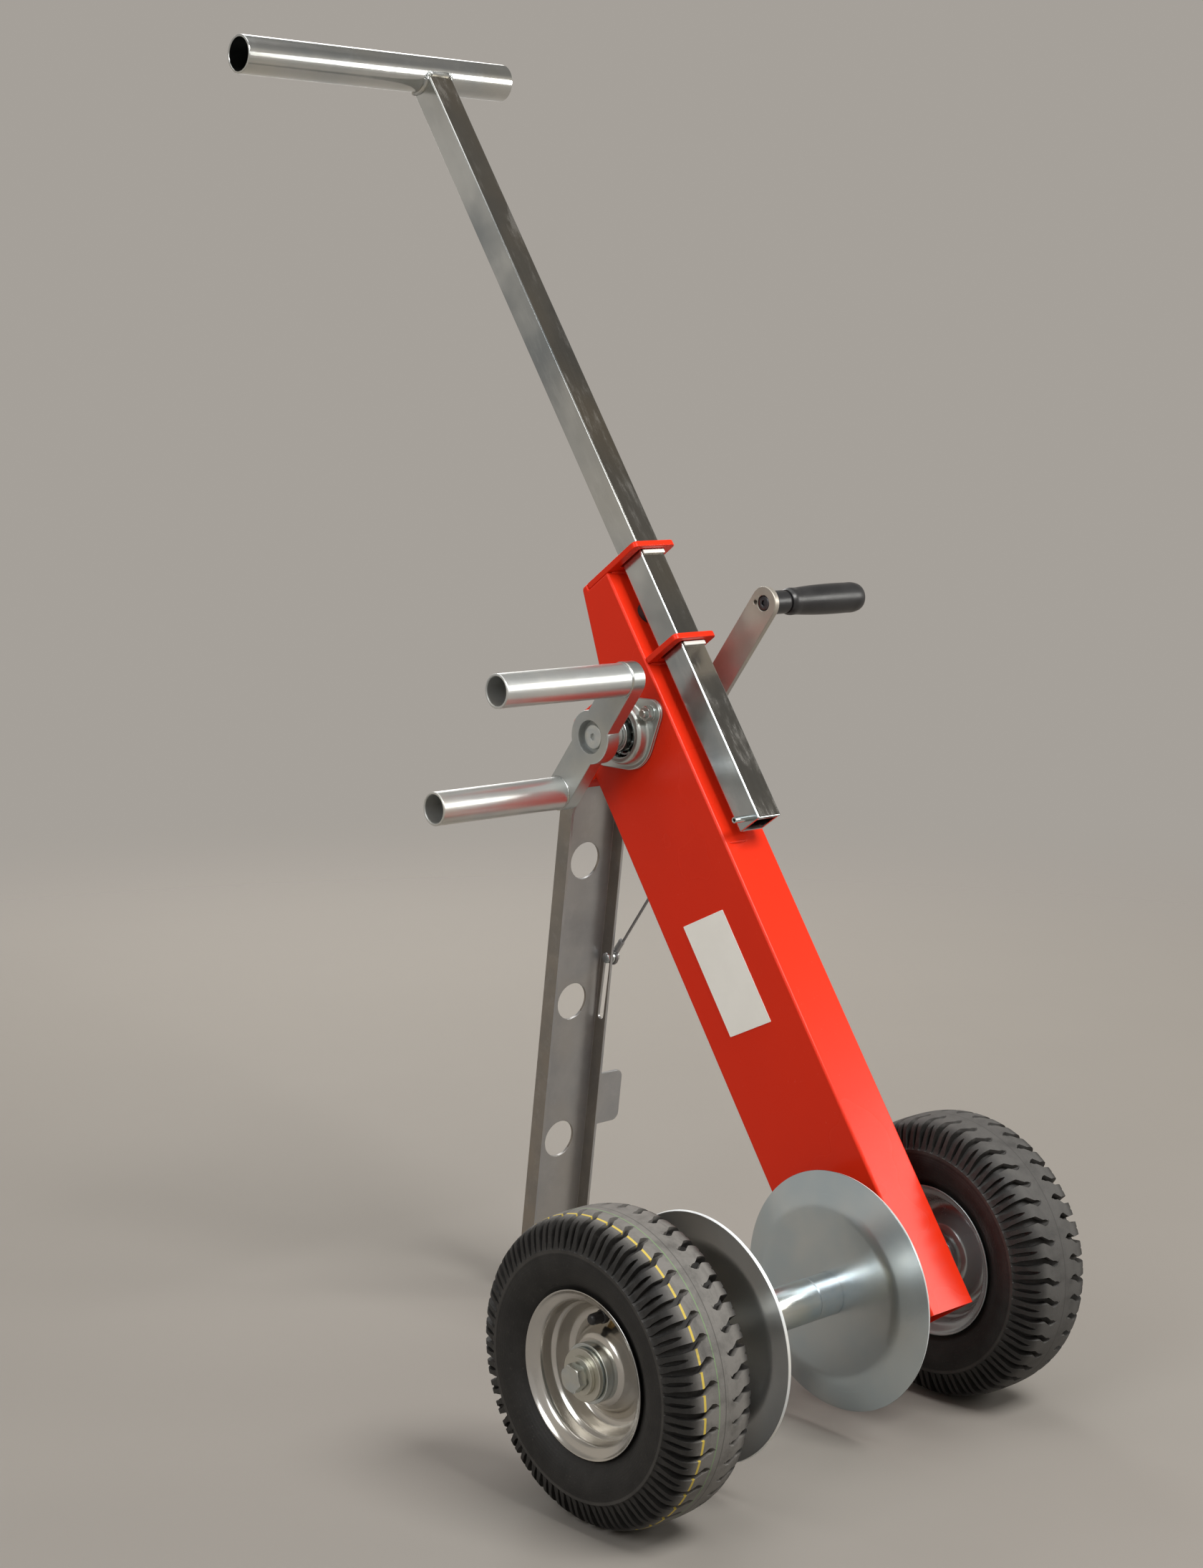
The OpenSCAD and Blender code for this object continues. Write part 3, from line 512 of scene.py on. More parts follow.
def slab(
    outline: Array,
    low: float,
    high: float,
    edge: float = 0.6,
    holes: Sequence[Array] = (),
    along: Along = Along.X,
) -> Skin:
    """Carries an outline along an axis, with its edges rounded.

    Towards each face the outline moves in along a quarter circle. The edges of holes are cut off
    straight.

    Args:
        outline: The outline's points.
        low: Where it starts.
        high: Where it ends.
        edge: Radius of its edges.
        holes: Outlines of the holes through it.
        along: The axis.

    Returns:
        The closed skin.
    """
    cut, rise = rounded(edge, 4)
    soft = 0.4 * edge
    walls = [zip(np.concatenate([cut, cut[::-1]]), np.concatenate([low + rise, high - rise[::-1]]))]
    walls += [zip((-soft, 0.0, 0.0, -soft), (low, low + soft, high - soft, high)) for _ in holes]
    skins = [
        woven(np.stack([along.points(inset(loop, by), h) for by, h in wall]))
        for loop, wall in zip([outline, *holes], walls)
    ]
    faces = [inset(outline, edge), *(inset(hole, -soft) for hole in holes)]
    return joined(skins + [lid(faces, low, along), lid(faces, high, along)])


def swept(
    path: Array,
    radius: float | Array,
    up: Sequence[float],
    sides: int = 12,
    closed: bool = False,
    finish: int = 0,
) -> Skin:
    """Carries a circle along a path.

    A row is path + radius (side cos a + over sin a), where side is square to the path and to up, and
    over to both.

    Args:
        path: The path's points.
        radius: One radius, one for each point, or one for each point and side.
        up: A direction that the path never takes.
        sides: Points round the circle.
        closed: Whether the path's end joins its start.
        finish: Number of the finish.

    Returns:
        The skin, with flat ends where the path is open.
    """
    run = np.roll(path, -1, 0) - np.roll(path, 1, 0) if closed else np.gradient(path, axis=0)
    side = np.cross(run, np.broadcast_to(np.asarray(up, float), run.shape))
    over = np.cross(side, run)
    side, over = unit(side)[:, None], unit(over)[:, None]
    a = angles(sides)[None, :, None]
    r = np.asarray(radius, float)
    r = np.broadcast_to(r[:, None] if r.ndim == 1 else r, (len(path), sides))[:, :, None]
    grid = path[:, None] + r * (side * np.cos(a) + over * np.sin(a))
    skin = woven(grid, True, closed, finish)
    if closed:
        return skin
    return skin + capped(grid, finish)


def capped(grid: Array, finish: int = 0) -> Skin:
    """Gives the flat ends of a grid that is joined around.

    Args:
        grid: Rows by columns by three.
        finish: Number of the finish.

    Returns:
        Its first and its last row, as a face each.
    """
    sides = grid.shape[1]
    faces = np.arange(2 * sides).reshape(2, sides)
    return Skin(np.concatenate([grid[0], grid[-1]]), [(faces, finish)])


def ripple(count: int, size: float, spread: float, waves: Sequence[float]) -> Array:
    """Gives a weld bead's radius along its path: its size times 1 plus a few sine waves.

    Args:
        count: Points on the path.
        size: The bead's mean radius.
        spread: How far the radius strays, as a share of it.
        waves: How often each wave repeats along the path.

    Returns:
        A radius for each point.
    """
    t = np.linspace(0.0, TURN, count, endpoint=False)
    return size * (1.0 + spread * np.sum([np.sin(w * t + 1.7 * w) for w in waves], 0) / len(waves))


# Shader maths


class Sock:
    """A node's output that takes arithmetic, each step of which adds a Math node."""

    def __init__(self, bench: Bench, socket: bpy.types.NodeSocket) -> None:
        """Keeps the socket and the bench that it is on."""
        self.bench, self.socket = bench, socket

    def _math(self, operation: str, first: Any, second: Any) -> Sock:
        """Adds a Math node."""
        return self.bench.node("ShaderNodeMath", {"operation": operation}, {0: first, 1: second})

    def __add__(self, other: Any) -> Sock:
        """Adds."""
        return self._math("ADD", self, other)

    def __sub__(self, other: Any) -> Sock:
        """Takes away."""
        return self._math("SUBTRACT", self, other)

    def __rsub__(self, other: Any) -> Sock:
        """Takes itself away."""
        return self._math("SUBTRACT", other, self)

    def __mul__(self, other: Any) -> Sock:
        """Multiplies."""
        return self._math("MULTIPLY", self, other)

    __radd__, __rmul__ = __add__, __mul__

    def sibling(self, key: int | str) -> Sock:
        """Gives another output of the same node."""
        return Sock(self.bench, self.bench.find(self.socket.node.outputs, key))


class Bench:
    """The nodes of a material or a world, and the one method that adds to them."""

    def __init__(self, holder: bpy.types.Material | bpy.types.World) -> None:
        """Clears the nodes of a material or a world.

        Args:
            holder: The material or the world.
        """
        holder.use_nodes = True
        self.tree = holder.node_tree
        self.tree.nodes.clear()

    @staticmethod
    def find(sockets: Any, key: int | str) -> bpy.types.NodeSocket:
        """Finds a socket.

        Args:
            sockets: A node's inputs or outputs.
            key: The socket's number, identifier or name.

        Returns:
            The socket.
        """
        if isinstance(key, int):
            return sockets[key]
        return next(s for s in sockets if key in (s.identifier, s.name))

    def node(
        self,
        kind: str,
        settings: dict[str, Any] | None = None,
        sockets: dict[int | str, Any] | None = None,
        out: int | str = 0,
    ) -> Sock:
        """Adds a node.

        Args:
            kind: The node's type.
            settings: What is set on the node first.
            sockets: Values or links of its inputs.
            out: The output to give.

        Returns:
            That output.
        """
        made = self.tree.nodes.new(kind)
        for key, value in (settings or {}).items():
            setattr(made, key, value)
        for key, value in (sockets or {}).items():
            entry = self.find(made.inputs, key)
            if isinstance(value, Sock):
                self.tree.links.new(value.socket, entry)
            else:
                colour = isinstance(value, tuple) and entry.type == "RGBA"
                entry.default_value = (*value, 1.0) if colour else value
        return Sock(self, self.find(made.outputs, out) if made.outputs else None)

    def point(self) -> Sock:
        """Gives the piece's own coordinates, in metres."""
        return self.node("ShaderNodeTexCoord", out="Object")

    def moved(self, point: Sock, shift: Point) -> Sock:
        """Gives coordinates from another origin."""
        return self.node("ShaderNodeVectorMath", {"operation": "SUBTRACT"}, {0: point, 1: shift})

    def scaled(self, point: Sock, scale: Point, lean: float = 0.0) -> Sock:
        """Gives coordinates turned about X, then scaled.

        Args:
            point: The coordinates.
            scale: What each of them is multiplied by.
            lean: How far they turn, in degrees.

        Returns:
            The scaled coordinates.
        """
        if lean:
            turn = {"Vector": point, "Rotation": (math.radians(lean), 0.0, 0.0)}
            point = self.node("ShaderNodeMapping", {"vector_type": "POINT"}, turn)
        return self.node("ShaderNodeVectorMath", {"operation": "MULTIPLY"}, {0: point, 1: scale})

    def axes(self, point: Sock) -> tuple[Sock, Sock, Sock]:
        """Gives a vector's three parts."""
        first = self.node("ShaderNodeSeparateXYZ", None, {"Vector": point})
        return first, first.sibling(1), first.sibling(2)

    def size(self, value: Sock) -> Sock:
        """Gives a value without its sign."""
        return self.node("ShaderNodeMath", {"operation": "ABSOLUTE"}, {0: value})

    def length(self, point: Sock) -> Sock:
        """Gives a vector's length."""
        return self.node("ShaderNodeVectorMath", {"operation": "LENGTH"}, {0: point}, "Value")

    def radius(self, point: Sock) -> Sock:
        """Gives a point's distance from the X axis."""
        _, y, z = self.axes(point)
        return self.length(self.node("ShaderNodeCombineXYZ", None, {"Y": y, "Z": z}))

    def noise(self, point: Sock, scale: float, detail: float = 3.0, rough: float = 0.55) -> Sock:
        """Gives soft noise about 0.5."""
        sockets = {"Vector": point, "Scale": scale, "Detail": detail, "Roughness": rough}
        return self.node("ShaderNodeTexNoise", None, sockets)

    def between(self, value: Sock, low: float, high: float) -> Sock:
        """Gives 0 below low and 1 above high, with a smooth step; low may be the larger one."""
        sockets = {"Value": value, "From Min": low, "From Max": high}
        return self.node("ShaderNodeMapRange", {"interpolation_type": "SMOOTHSTEP"}, sockets)

    def blend(self, share: Any, first: Any, second: Any) -> Sock:
        """Mixes two colours."""
        sockets = {"Factor_Float": share, "A_Color": first, "B_Color": second}
        return self.node("ShaderNodeMix", {"data_type": "RGBA"}, sockets, "Result_Color")

    def bump(self, height: Sock, strength: float, deep: float = 0.0003) -> Sock:
        """Gives a normal from a height."""
        sockets = {"Strength": strength, "Distance": deep, "Height": height}
        return self.node("ShaderNodeBump", None, sockets)

    def surface(self, sockets: dict[int | str, Any]) -> None:
        """Ends the material in a principled shader."""
        shader = self.node("ShaderNodeBsdfPrincipled", None, sockets)
        self.node("ShaderNodeOutputMaterial", None, {"Surface": shader})


# Finishes


@dataclass(frozen=True)
class Finish:
    """A finish by name."""

    name: str

    def brew(self, bench: Bench) -> None:
        """Lays out the material's nodes."""
        raise NotImplementedError


@functools.cache
def mixed(finish: Finish) -> bpy.types.Material:
    """Gives a finish's material, which is made once.

    Args:
        finish: The finish.

    Returns:
        The material.
    """
    material = bpy.data.materials.new(finish.name)
    finish.brew(Bench(material))
    return material


@dataclass(frozen=True)
class Plated(Finish):
    """Bare or plated metal, with clouds of a cooler and a warmer tint, fine grain, lines and scuffs.

    The lines run along a leaning piece, or as rings about a hub's axis.

    Attributes:
        tint: The main colour.
        cool: The cooler colour.
        warm: The warmer colour.
        rough: The mean roughness.
        spread: How far the roughness strays in clouds.
        cloud: How many clouds a metre has.
        lines: How many lines a metre has along each axis, the first one counting for rings.
        lean: How far the lines lean about X, in degrees.
        drawn: How much the lines show.
        scuffs: How much the scuffs show.
        relief: Strength of the surface's relief.
        metal: Share of metal.
        hub: A point of the axis of the rings, or none for straight lines.
    """

    tint: Colour
    cool: Colour
    warm: Colour
    rough: float = 0.3
    spread: float = 0.14
    cloud: float = 14.0
    lines: Point = (900.0, 900.0, 900.0)
    lean: float = 0.0
    drawn: float = 0.0
    scuffs: float = 0.0
    relief: float = 0.08
    metal: float = 1.0
    hub: Point | None = None

    def _lines(self, bench: Bench, point: Sock) -> Sock:
        """Gives the coordinates of the lines' noise.

        Args:
            bench: Where the nodes go.
            point: The piece's own coordinates.

        Returns:
            The coordinates, one unit to a line.
        """
        if self.hub is None:
            return bench.scaled(point, self.lines, self.lean)
        far = bench.radius(bench.moved(point, self.hub)) * self.lines[0]
        return bench.node("ShaderNodeCombineXYZ", None, {"X": far})

    def brew(self, bench: Bench) -> None:
        """Lays out the material's nodes.

        Args:
            bench: Where the nodes go.
        """
        point = bench.point()
        cloud = bench.noise(point, self.cloud, 4.0, 0.6)
        drift = bench.noise(bench.moved(point, (0.7, 0.2, 0.4)), self.cloud * 0.45, 2.0)
        fine = bench.noise(point, 520.0, 3.0, 0.6)
        streak = bench.noise(self._lines(bench, point), 1.0, 3.0, 0.65)
        stretch = (1.0, 1.0, 0.25 if self.lean else 1.0)
        wear = bench.scaled(bench.moved(point, (0.3, 0.9, 0.1)), stretch, self.lean)
        scuff = bench.between(bench.noise(wear, 62.0, 7.0, 0.72), 0.50, 0.66) * self.scuffs
        colour = bench.blend(bench.between(cloud, 0.34, 0.70), self.tint, self.cool)
        colour = bench.blend(bench.between(drift, 0.46, 0.70) * 0.75, colour, self.warm)
        pale = tuple(min(1.0, 0.35 + 0.68 * part) for part in self.tint)
        rough = (cloud - 0.5) * self.spread + (fine - 0.5) * (0.6 * self.spread) + self.rough
        height = fine * 0.5 + streak * (2.0 * self.drawn) + scuff
        bench.surface(
            {
                "Base Color": bench.blend(scuff * 0.8, colour, pale),
                "Metallic": self.metal,
                "Roughness": rough + (streak - 0.5) * self.drawn + scuff * 0.22,
                "Normal": bench.bump(height, self.relief),
            }
        )


@dataclass(frozen=True)
class Coat(Finish):
    """Gloss powder coat: an orange-peel surface, slow changes of depth, and a few dull dust marks."""

    tint: Colour
    deep: Colour
    dusty: Colour
    rough: float = 0.27

    def brew(self, bench: Bench) -> None:
        """Lays out the material's nodes.

        Args:
            bench: Where the nodes go.
        """
        point = bench.point()
        cloud = bench.noise(point, 5.0, 3.0, 0.6)
        peel = bench.noise(point, 420.0, 2.0, 0.5)
        dust = bench.between(bench.noise(point, 260.0, 5.0, 0.7), 0.67, 0.74)
        colour = bench.blend(bench.between(cloud, 0.3, 0.72) * 0.5, self.tint, self.deep)
        bench.surface(
            {
                "Base Color": bench.blend(dust * 0.10, colour, self.dusty),
                "Roughness": (cloud - 0.5) * 0.06 + dust * 0.2 + self.rough,
                "Specular IOR Level": 0.14,
                "Coat Weight": 0.05,
                "Coat Roughness": 0.12,
                "Normal": bench.bump(peel, 0.03),
            }
        )


@dataclass(frozen=True)
class Stripe:
    """A thin line of paint round a tyre.

    Attributes:
        at: Where it is across the tyre, in metres.
        half: Half its width.
        full: How much it covers.
        colour: Its colour.
    """

    at: float
    half: float
    full: float
    colour: Colour


@dataclass(frozen=True)
class TreadRubber(Finish):
    """Tyre rubber: a crown with dust and painted sheen and a parting line, and a darker wall with a worn rib
    and faint rings.

    Attributes:
        middle: The tyre's middle, in metres.
        dust: Colour of the dust and painted sheen on the crown.
        stripes: Lines of paint on the crown.
        rubber: Colours of the clean rubber, darker and paler.
        worn: Colour of the rib that is worn, and of specks of dirt.
        dirt: Colour of smears on the crown, and of the parting line.
    """

    middle: Point
    dust: Colour
    stripes: tuple[Stripe, ...] = ()
    rubber: tuple[Colour, Colour] = ((0.0105, 0.0100, 0.0095), (0.021, 0.0195, 0.018))
    worn: tuple[Colour, Colour] = ((0.075, 0.070, 0.064), (0.070, 0.064, 0.057))
    dirt: tuple[Colour, Colour] = ((0.05, 0.048, 0.046), (0.03, 0.028, 0.027))

    def brew(self, bench: Bench) -> None:
        """Lays out the material's nodes.

        Args:
            bench: Where the nodes go.
        """
        point = bench.moved(bench.point(), self.middle)
        radius = bench.radius(point)
        x, _, _ = bench.axes(point)
        mottle = bench.noise(point, 46.0, 6.0, 0.68)
        grain = bench.noise(point, 700.0, 3.0, 0.6)
        smear = bench.noise(bench.scaled(point, (90.0, 14.0, 14.0)), 1.0, 4.0, 0.6)
        specks = bench.between(bench.noise(point, 380.0, 5.0, 0.75), 0.56, 0.74)
        # Where on the tyre: radii and distances from its middle plane, in metres
        top = bench.between(radius, 0.1235, 0.1268)
        crown = bench.between(bench.size(x), 0.031, 0.021)
        wall = bench.between(radius, 0.104, 0.099)
        rib = bench.between(bench.size(radius - 0.1019), 0.0019, 0.0007)
        part = bench.between(bench.size(x), 0.0008, 0.0002)
        rings = bench.node("ShaderNodeMath", {"operation": "SINE"}, {0: radius * 2600.0})
        # Dust and painted sheen on the tops of the crown, patchy with the mottle
        dusty = top * (crown * 0.72 + 0.16) * (bench.between(mottle, 0.22, 0.62) * 0.55 + 0.45)
        smeared = top * crown * bench.between(smear, 0.56, 0.68) * 0.35
        colour = bench.blend(bench.between(mottle, 0.3, 0.72), *self.rubber)
        for share, shade in (
            (specks * 0.5, self.worn[1]),
            (rib * (mottle * 0.7 + 0.1), self.worn[0]),
            (dusty, self.dust),
            (smeared, self.dirt[0]),
            (part * top * 0.55, self.dirt[1]),
        ):
            colour = bench.blend(share, colour, shade)
        for stripe in self.stripes:
            line = bench.between(bench.size(x - stripe.at), stripe.half * 1.25, stripe.half * 0.8)
            line = line * bench.between(radius, 0.1262, 0.1272)
            share = line * bench.between(mottle, 0.22, 0.45) * stripe.full
            colour = bench.blend(share, colour, stripe.colour)
        height = grain * 0.6 + mottle * 0.5 + rings * wall * 0.12
        bench.surface(
            {
                "Base Color": colour,
                "Roughness": (mottle - 0.5) * 0.18 + dusty * 0.22 + 0.58,
                "Specular IOR Level": 0.36,
                "Normal": bench.bump(height, 0.30, 0.0006),
            }
        )


@dataclass(frozen=True)
class Moulded(Finish):
    """Plastic or soft rubber: a fine grain, slow changes of gloss, and short scratches that show paler."""

    tint: Colour
    shade: Colour
    scratch: Colour
    rough: float = 0.42
    scratches: float = 0.5
    grain: float = 0.2

    def brew(self, bench: Bench) -> None:
        """Lays out the material's nodes.

        Args:
            bench: Where the nodes go.
        """
        point = bench.point()
        cloud = bench.noise(point, 34.0, 4.0, 0.6)
        grain = bench.noise(point, 950.0, 2.0, 0.5)
        patch = bench.between(bench.noise(point, 26.0, 2.0), 0.50, 0.62)
        lines = bench.noise(bench.scaled(point, (60.0, 900.0, 420.0), 24.0), 1.0, 2.0, 0.5)
        scratch = bench.between(lines, 0.66, 0.71) * patch * self.scratches
        colour = bench.blend(bench.between(cloud, 0.32, 0.70), self.tint, self.shade)
        bench.surface(
            {
                "Base Color": bench.blend(scratch, colour, self.scratch),
                "Roughness": (cloud - 0.5) * 0.2 + scratch * 0.25 + self.rough,
                "Normal": bench.bump(grain - scratch * 1.5, self.grain),
            }
        )


HUB = tuple(part * MM for part in AXLE.at)
# Lines to the metre: rings of a turned disc, and lines along tubes that lie across the part
TURNED = (1500.0, 0.0, 0.0)
DRAWN = (14.0, 700.0, 700.0)

BLUE_ZINC = Plated(
    "blue zinc plate", (0.56, 0.59, 0.58), (0.47, 0.52, 0.53), (0.62, 0.59, 0.50), 0.32, 0.10, 11.0
)
DISC_ZINC = Plated(
    "turned zinc disc", (0.70, 0.73, 0.72), (0.52, 0.61, 0.66), (0.78, 0.72, 0.55), 0.24, 0.05, 6.0,
    lines=TURNED, drawn=0.16, relief=0.22, hub=HUB,
)
# The left disc's zinc is darker than the right disc's as painted shade: it faces the tyre and lies in its
# shade.
SHADED_LEFT_DISC = Plated(
    "left disc zinc with painted shade", (0.42, 0.44, 0.45), (0.34, 0.37, 0.39), (0.46, 0.43, 0.38), 0.30, 0.06, 8.0,
    lines=TURNED, drawn=0.12, relief=0.12, hub=HUB,
)
# The discs' cut edges: paler and less metallic than the discs as a painted highlight.
DISC_EDGE_HIGHLIGHT = Plated(
    "sheet edge with painted highlight", (0.78, 0.80, 0.80), (0.70, 0.74, 0.76), (0.80, 0.78, 0.72), 0.42, 0.10, 30.0,
    metal=0.35,
)
ROLLER_ZINC = Plated(
    "tinted zinc tube", (0.68, 0.70, 0.70), (0.44, 0.55, 0.66), (0.76, 0.68, 0.46), 0.24, 0.06, 16.0,
    lines=DRAWN, drawn=0.10,
)
TUBE_ZINC = Plated(
    "satin zinc on drawn tube", (0.66, 0.67, 0.65), (0.56, 0.59, 0.60), (0.67, 0.64, 0.56), 0.32, 0.08,
    13.0, lines=DRAWN, drawn=0.07, scuffs=0.10, relief=0.03, metal=0.9,
)
BORE_ZINC = Plated(
    "dull zinc inside a tube", (0.50, 0.51, 0.50), (0.41, 0.43, 0.43), (0.52, 0.50, 0.45), 0.38, 0.12,
    40.0, metal=0.62,
)
FORK_ZINC = Plated(
    "dull zinc plate", (0.47, 0.48, 0.46), (0.40, 0.42, 0.42), (0.49, 0.48, 0.43), 0.46, 0.10, 22.0,
    scuffs=0.10, relief=0.14, metal=0.75,
)
SCREW_ZINC = Plated(
    "pale zinc screw", (0.62, 0.63, 0.60), (0.54, 0.57, 0.57), (0.64, 0.62, 0.55), 0.42, 0.12, 80.0,
    metal=0.5,
)
ARM_ZINC = Plated(
    "warm zinc plate", (0.37, 0.36, 0.34), (0.30, 0.30, 0.30), (0.42, 0.38, 0.32), 0.40, 0.12, 17.0,
    scuffs=0.10, metal=0.65,
)
HANDLE_ZINC = Plated(
    "bright zinc on drawn tube", (0.60, 0.61, 0.60), (0.50, 0.53, 0.54), (0.62, 0.60, 0.50), 0.17, 0.08,
    13.0, lines=(9.0, 600.0, 600.0), drawn=0.10, scuffs=0.15, relief=0.03,
)
BAR_STEEL = Plated(
    "bright square tube", (0.64, 0.66, 0.65), (0.26, 0.29, 0.31), (0.44, 0.42, 0.37), 0.17, 0.06, 5.0,
    lines=(500.0, 500.0, 9.0), lean=TILT, drawn=0.07, scuffs=0.15, relief=0.05,
)
# The drawbar's front face: darker than the tube's other faces as a painted dark reflection, with real scuffs
# on it.
SHADED_BAR_FRONT = Plated(
    "tube front face with painted dark reflection and scuffs", (0.30, 0.285, 0.255), (0.22, 0.215, 0.20), (0.36, 0.31, 0.24), 0.19, 0.10, 12.0,
    lines=(420.0, 420.0, 11.0), lean=TILT, drawn=0.12, scuffs=0.5, relief=0.07,
)
SHEET_ZINC = Plated(
    "galvanised sheet", (0.43, 0.43, 0.43), (0.36, 0.365, 0.375), (0.43, 0.41, 0.38), 0.34, 0.10, 20.0,
    scuffs=0.12, metal=0.8,
)
# The leg's left-facing faces: darker and browner than its web as painted shade.
SHADED_FLANGE_ZINC = Plated(
    "sheet side with painted shade", (0.33, 0.30, 0.265), (0.27, 0.255, 0.235), (0.34, 0.295, 0.245), 0.34, 0.10,
    26.0, scuffs=0.15, metal=0.85,
)
SMALL_ZINC = Plated(
    "zinc fastener", (0.62, 0.65, 0.64), (0.50, 0.55, 0.56), (0.66, 0.63, 0.53), 0.25, 0.10, 60.0,
    relief=0.05,
)
POLISHED = Plated(
    "polished rim", (0.60, 0.595, 0.58), (0.48, 0.48, 0.48), (0.60, 0.56, 0.49), 0.20, 0.06, 12.0,
    relief=0.03,
)
# The right rim is the left rim's metal, made darker and bluer as painted shade; the blue-green tint offsets
# the beam's red reflection.
SHADED_RIM = Plated(
    "right rim with painted shade", (0.46, 0.50, 0.50), (0.38, 0.42, 0.43), (0.48, 0.49, 0.47), 0.26, 0.08, 12.0,
    relief=0.03, metal=0.6,
)
DARK_STEEL = Plated(
    "dark steel", (0.10, 0.10, 0.105), (0.07, 0.07, 0.08), (0.13, 0.12, 0.11), 0.34, 0.14, 70.0
)
WELD = Plated(
    "plated weld", (0.52, 0.53, 0.51), (0.42, 0.44, 0.45), (0.58, 0.55, 0.46), 0.30, 0.20, 120.0,
    scuffs=0.2, relief=0.4,
)
BRASS = Plated(
    "brass stem", (0.72, 0.50, 0.20), (0.60, 0.44, 0.22), (0.80, 0.58, 0.26), 0.28, 0.14, 90.0
)
WIRE = Plated(
    "wire rope", (0.36, 0.36, 0.37), (0.26, 0.26, 0.28), (0.44, 0.42, 0.38), 0.38, 0.16, 200.0
)
RED = Coat("red powder coat", (0.730, 0.029, 0.0075), (0.660, 0.023, 0.0065), (0.72, 0.30, 0.24))
BLACK = Moulded(
    "black moulding", (0.010, 0.010, 0.011), (0.017, 0.017, 0.018), (0.20, 0.19, 0.18), 0.36
)
RUBBER = Moulded(
    "black rubber", (0.016, 0.016, 0.016), (0.030, 0.030, 0.030), (0.08, 0.08, 0.08), 0.62, 0.2, 0.35
)
WHITE = Moulded("white liner", (0.80, 0.79, 0.75), (0.70, 0.69, 0.65), (0.50, 0.49, 0.46), 0.45, 0.3)
FILM = Moulded(
    "blank label film", (0.95, 0.93, 0.87), (0.92, 0.90, 0.84), (0.70, 0.67, 0.60), 0.36, 0.10, 0.05
)
YELLOW_LINE = Stripe(-0.0215, 0.0010, 0.85, (0.60, 0.45, 0.06))
GREEN_LINE = Stripe(-0.0070, 0.0005, 0.5, (0.16, 0.32, 0.11))


# Publishing


# Points closer than this, in metres, are one
NEAR = 2e-6
# Publishes a piece whose place and body are given already
Add = Callable[..., bpy.types.Object]


def mend(mesh: bpy.types.Mesh, near: float = NEAR, flat: float = 0.0) -> None:
    """Merges doubles, joins faces that lie in one plane, and turns the faces outwards.

    Args:
        mesh: The mesh.
        near: Points closer than this are one.
        flat: Faces within this angle lie in one plane; with 0, none are joined.
    """
    work = bmesh.new()
    work.from_mesh(mesh)
    bmesh.ops.remove_doubles(work, verts=work.verts, dist=near)
    if flat:
        bmesh.ops.dissolve_limit(work, angle_limit=flat, verts=work.verts, edges=work.edges)
    bmesh.ops.recalc_face_normals(work, faces=work.faces)
    work.to_mesh(mesh)
    work.free()


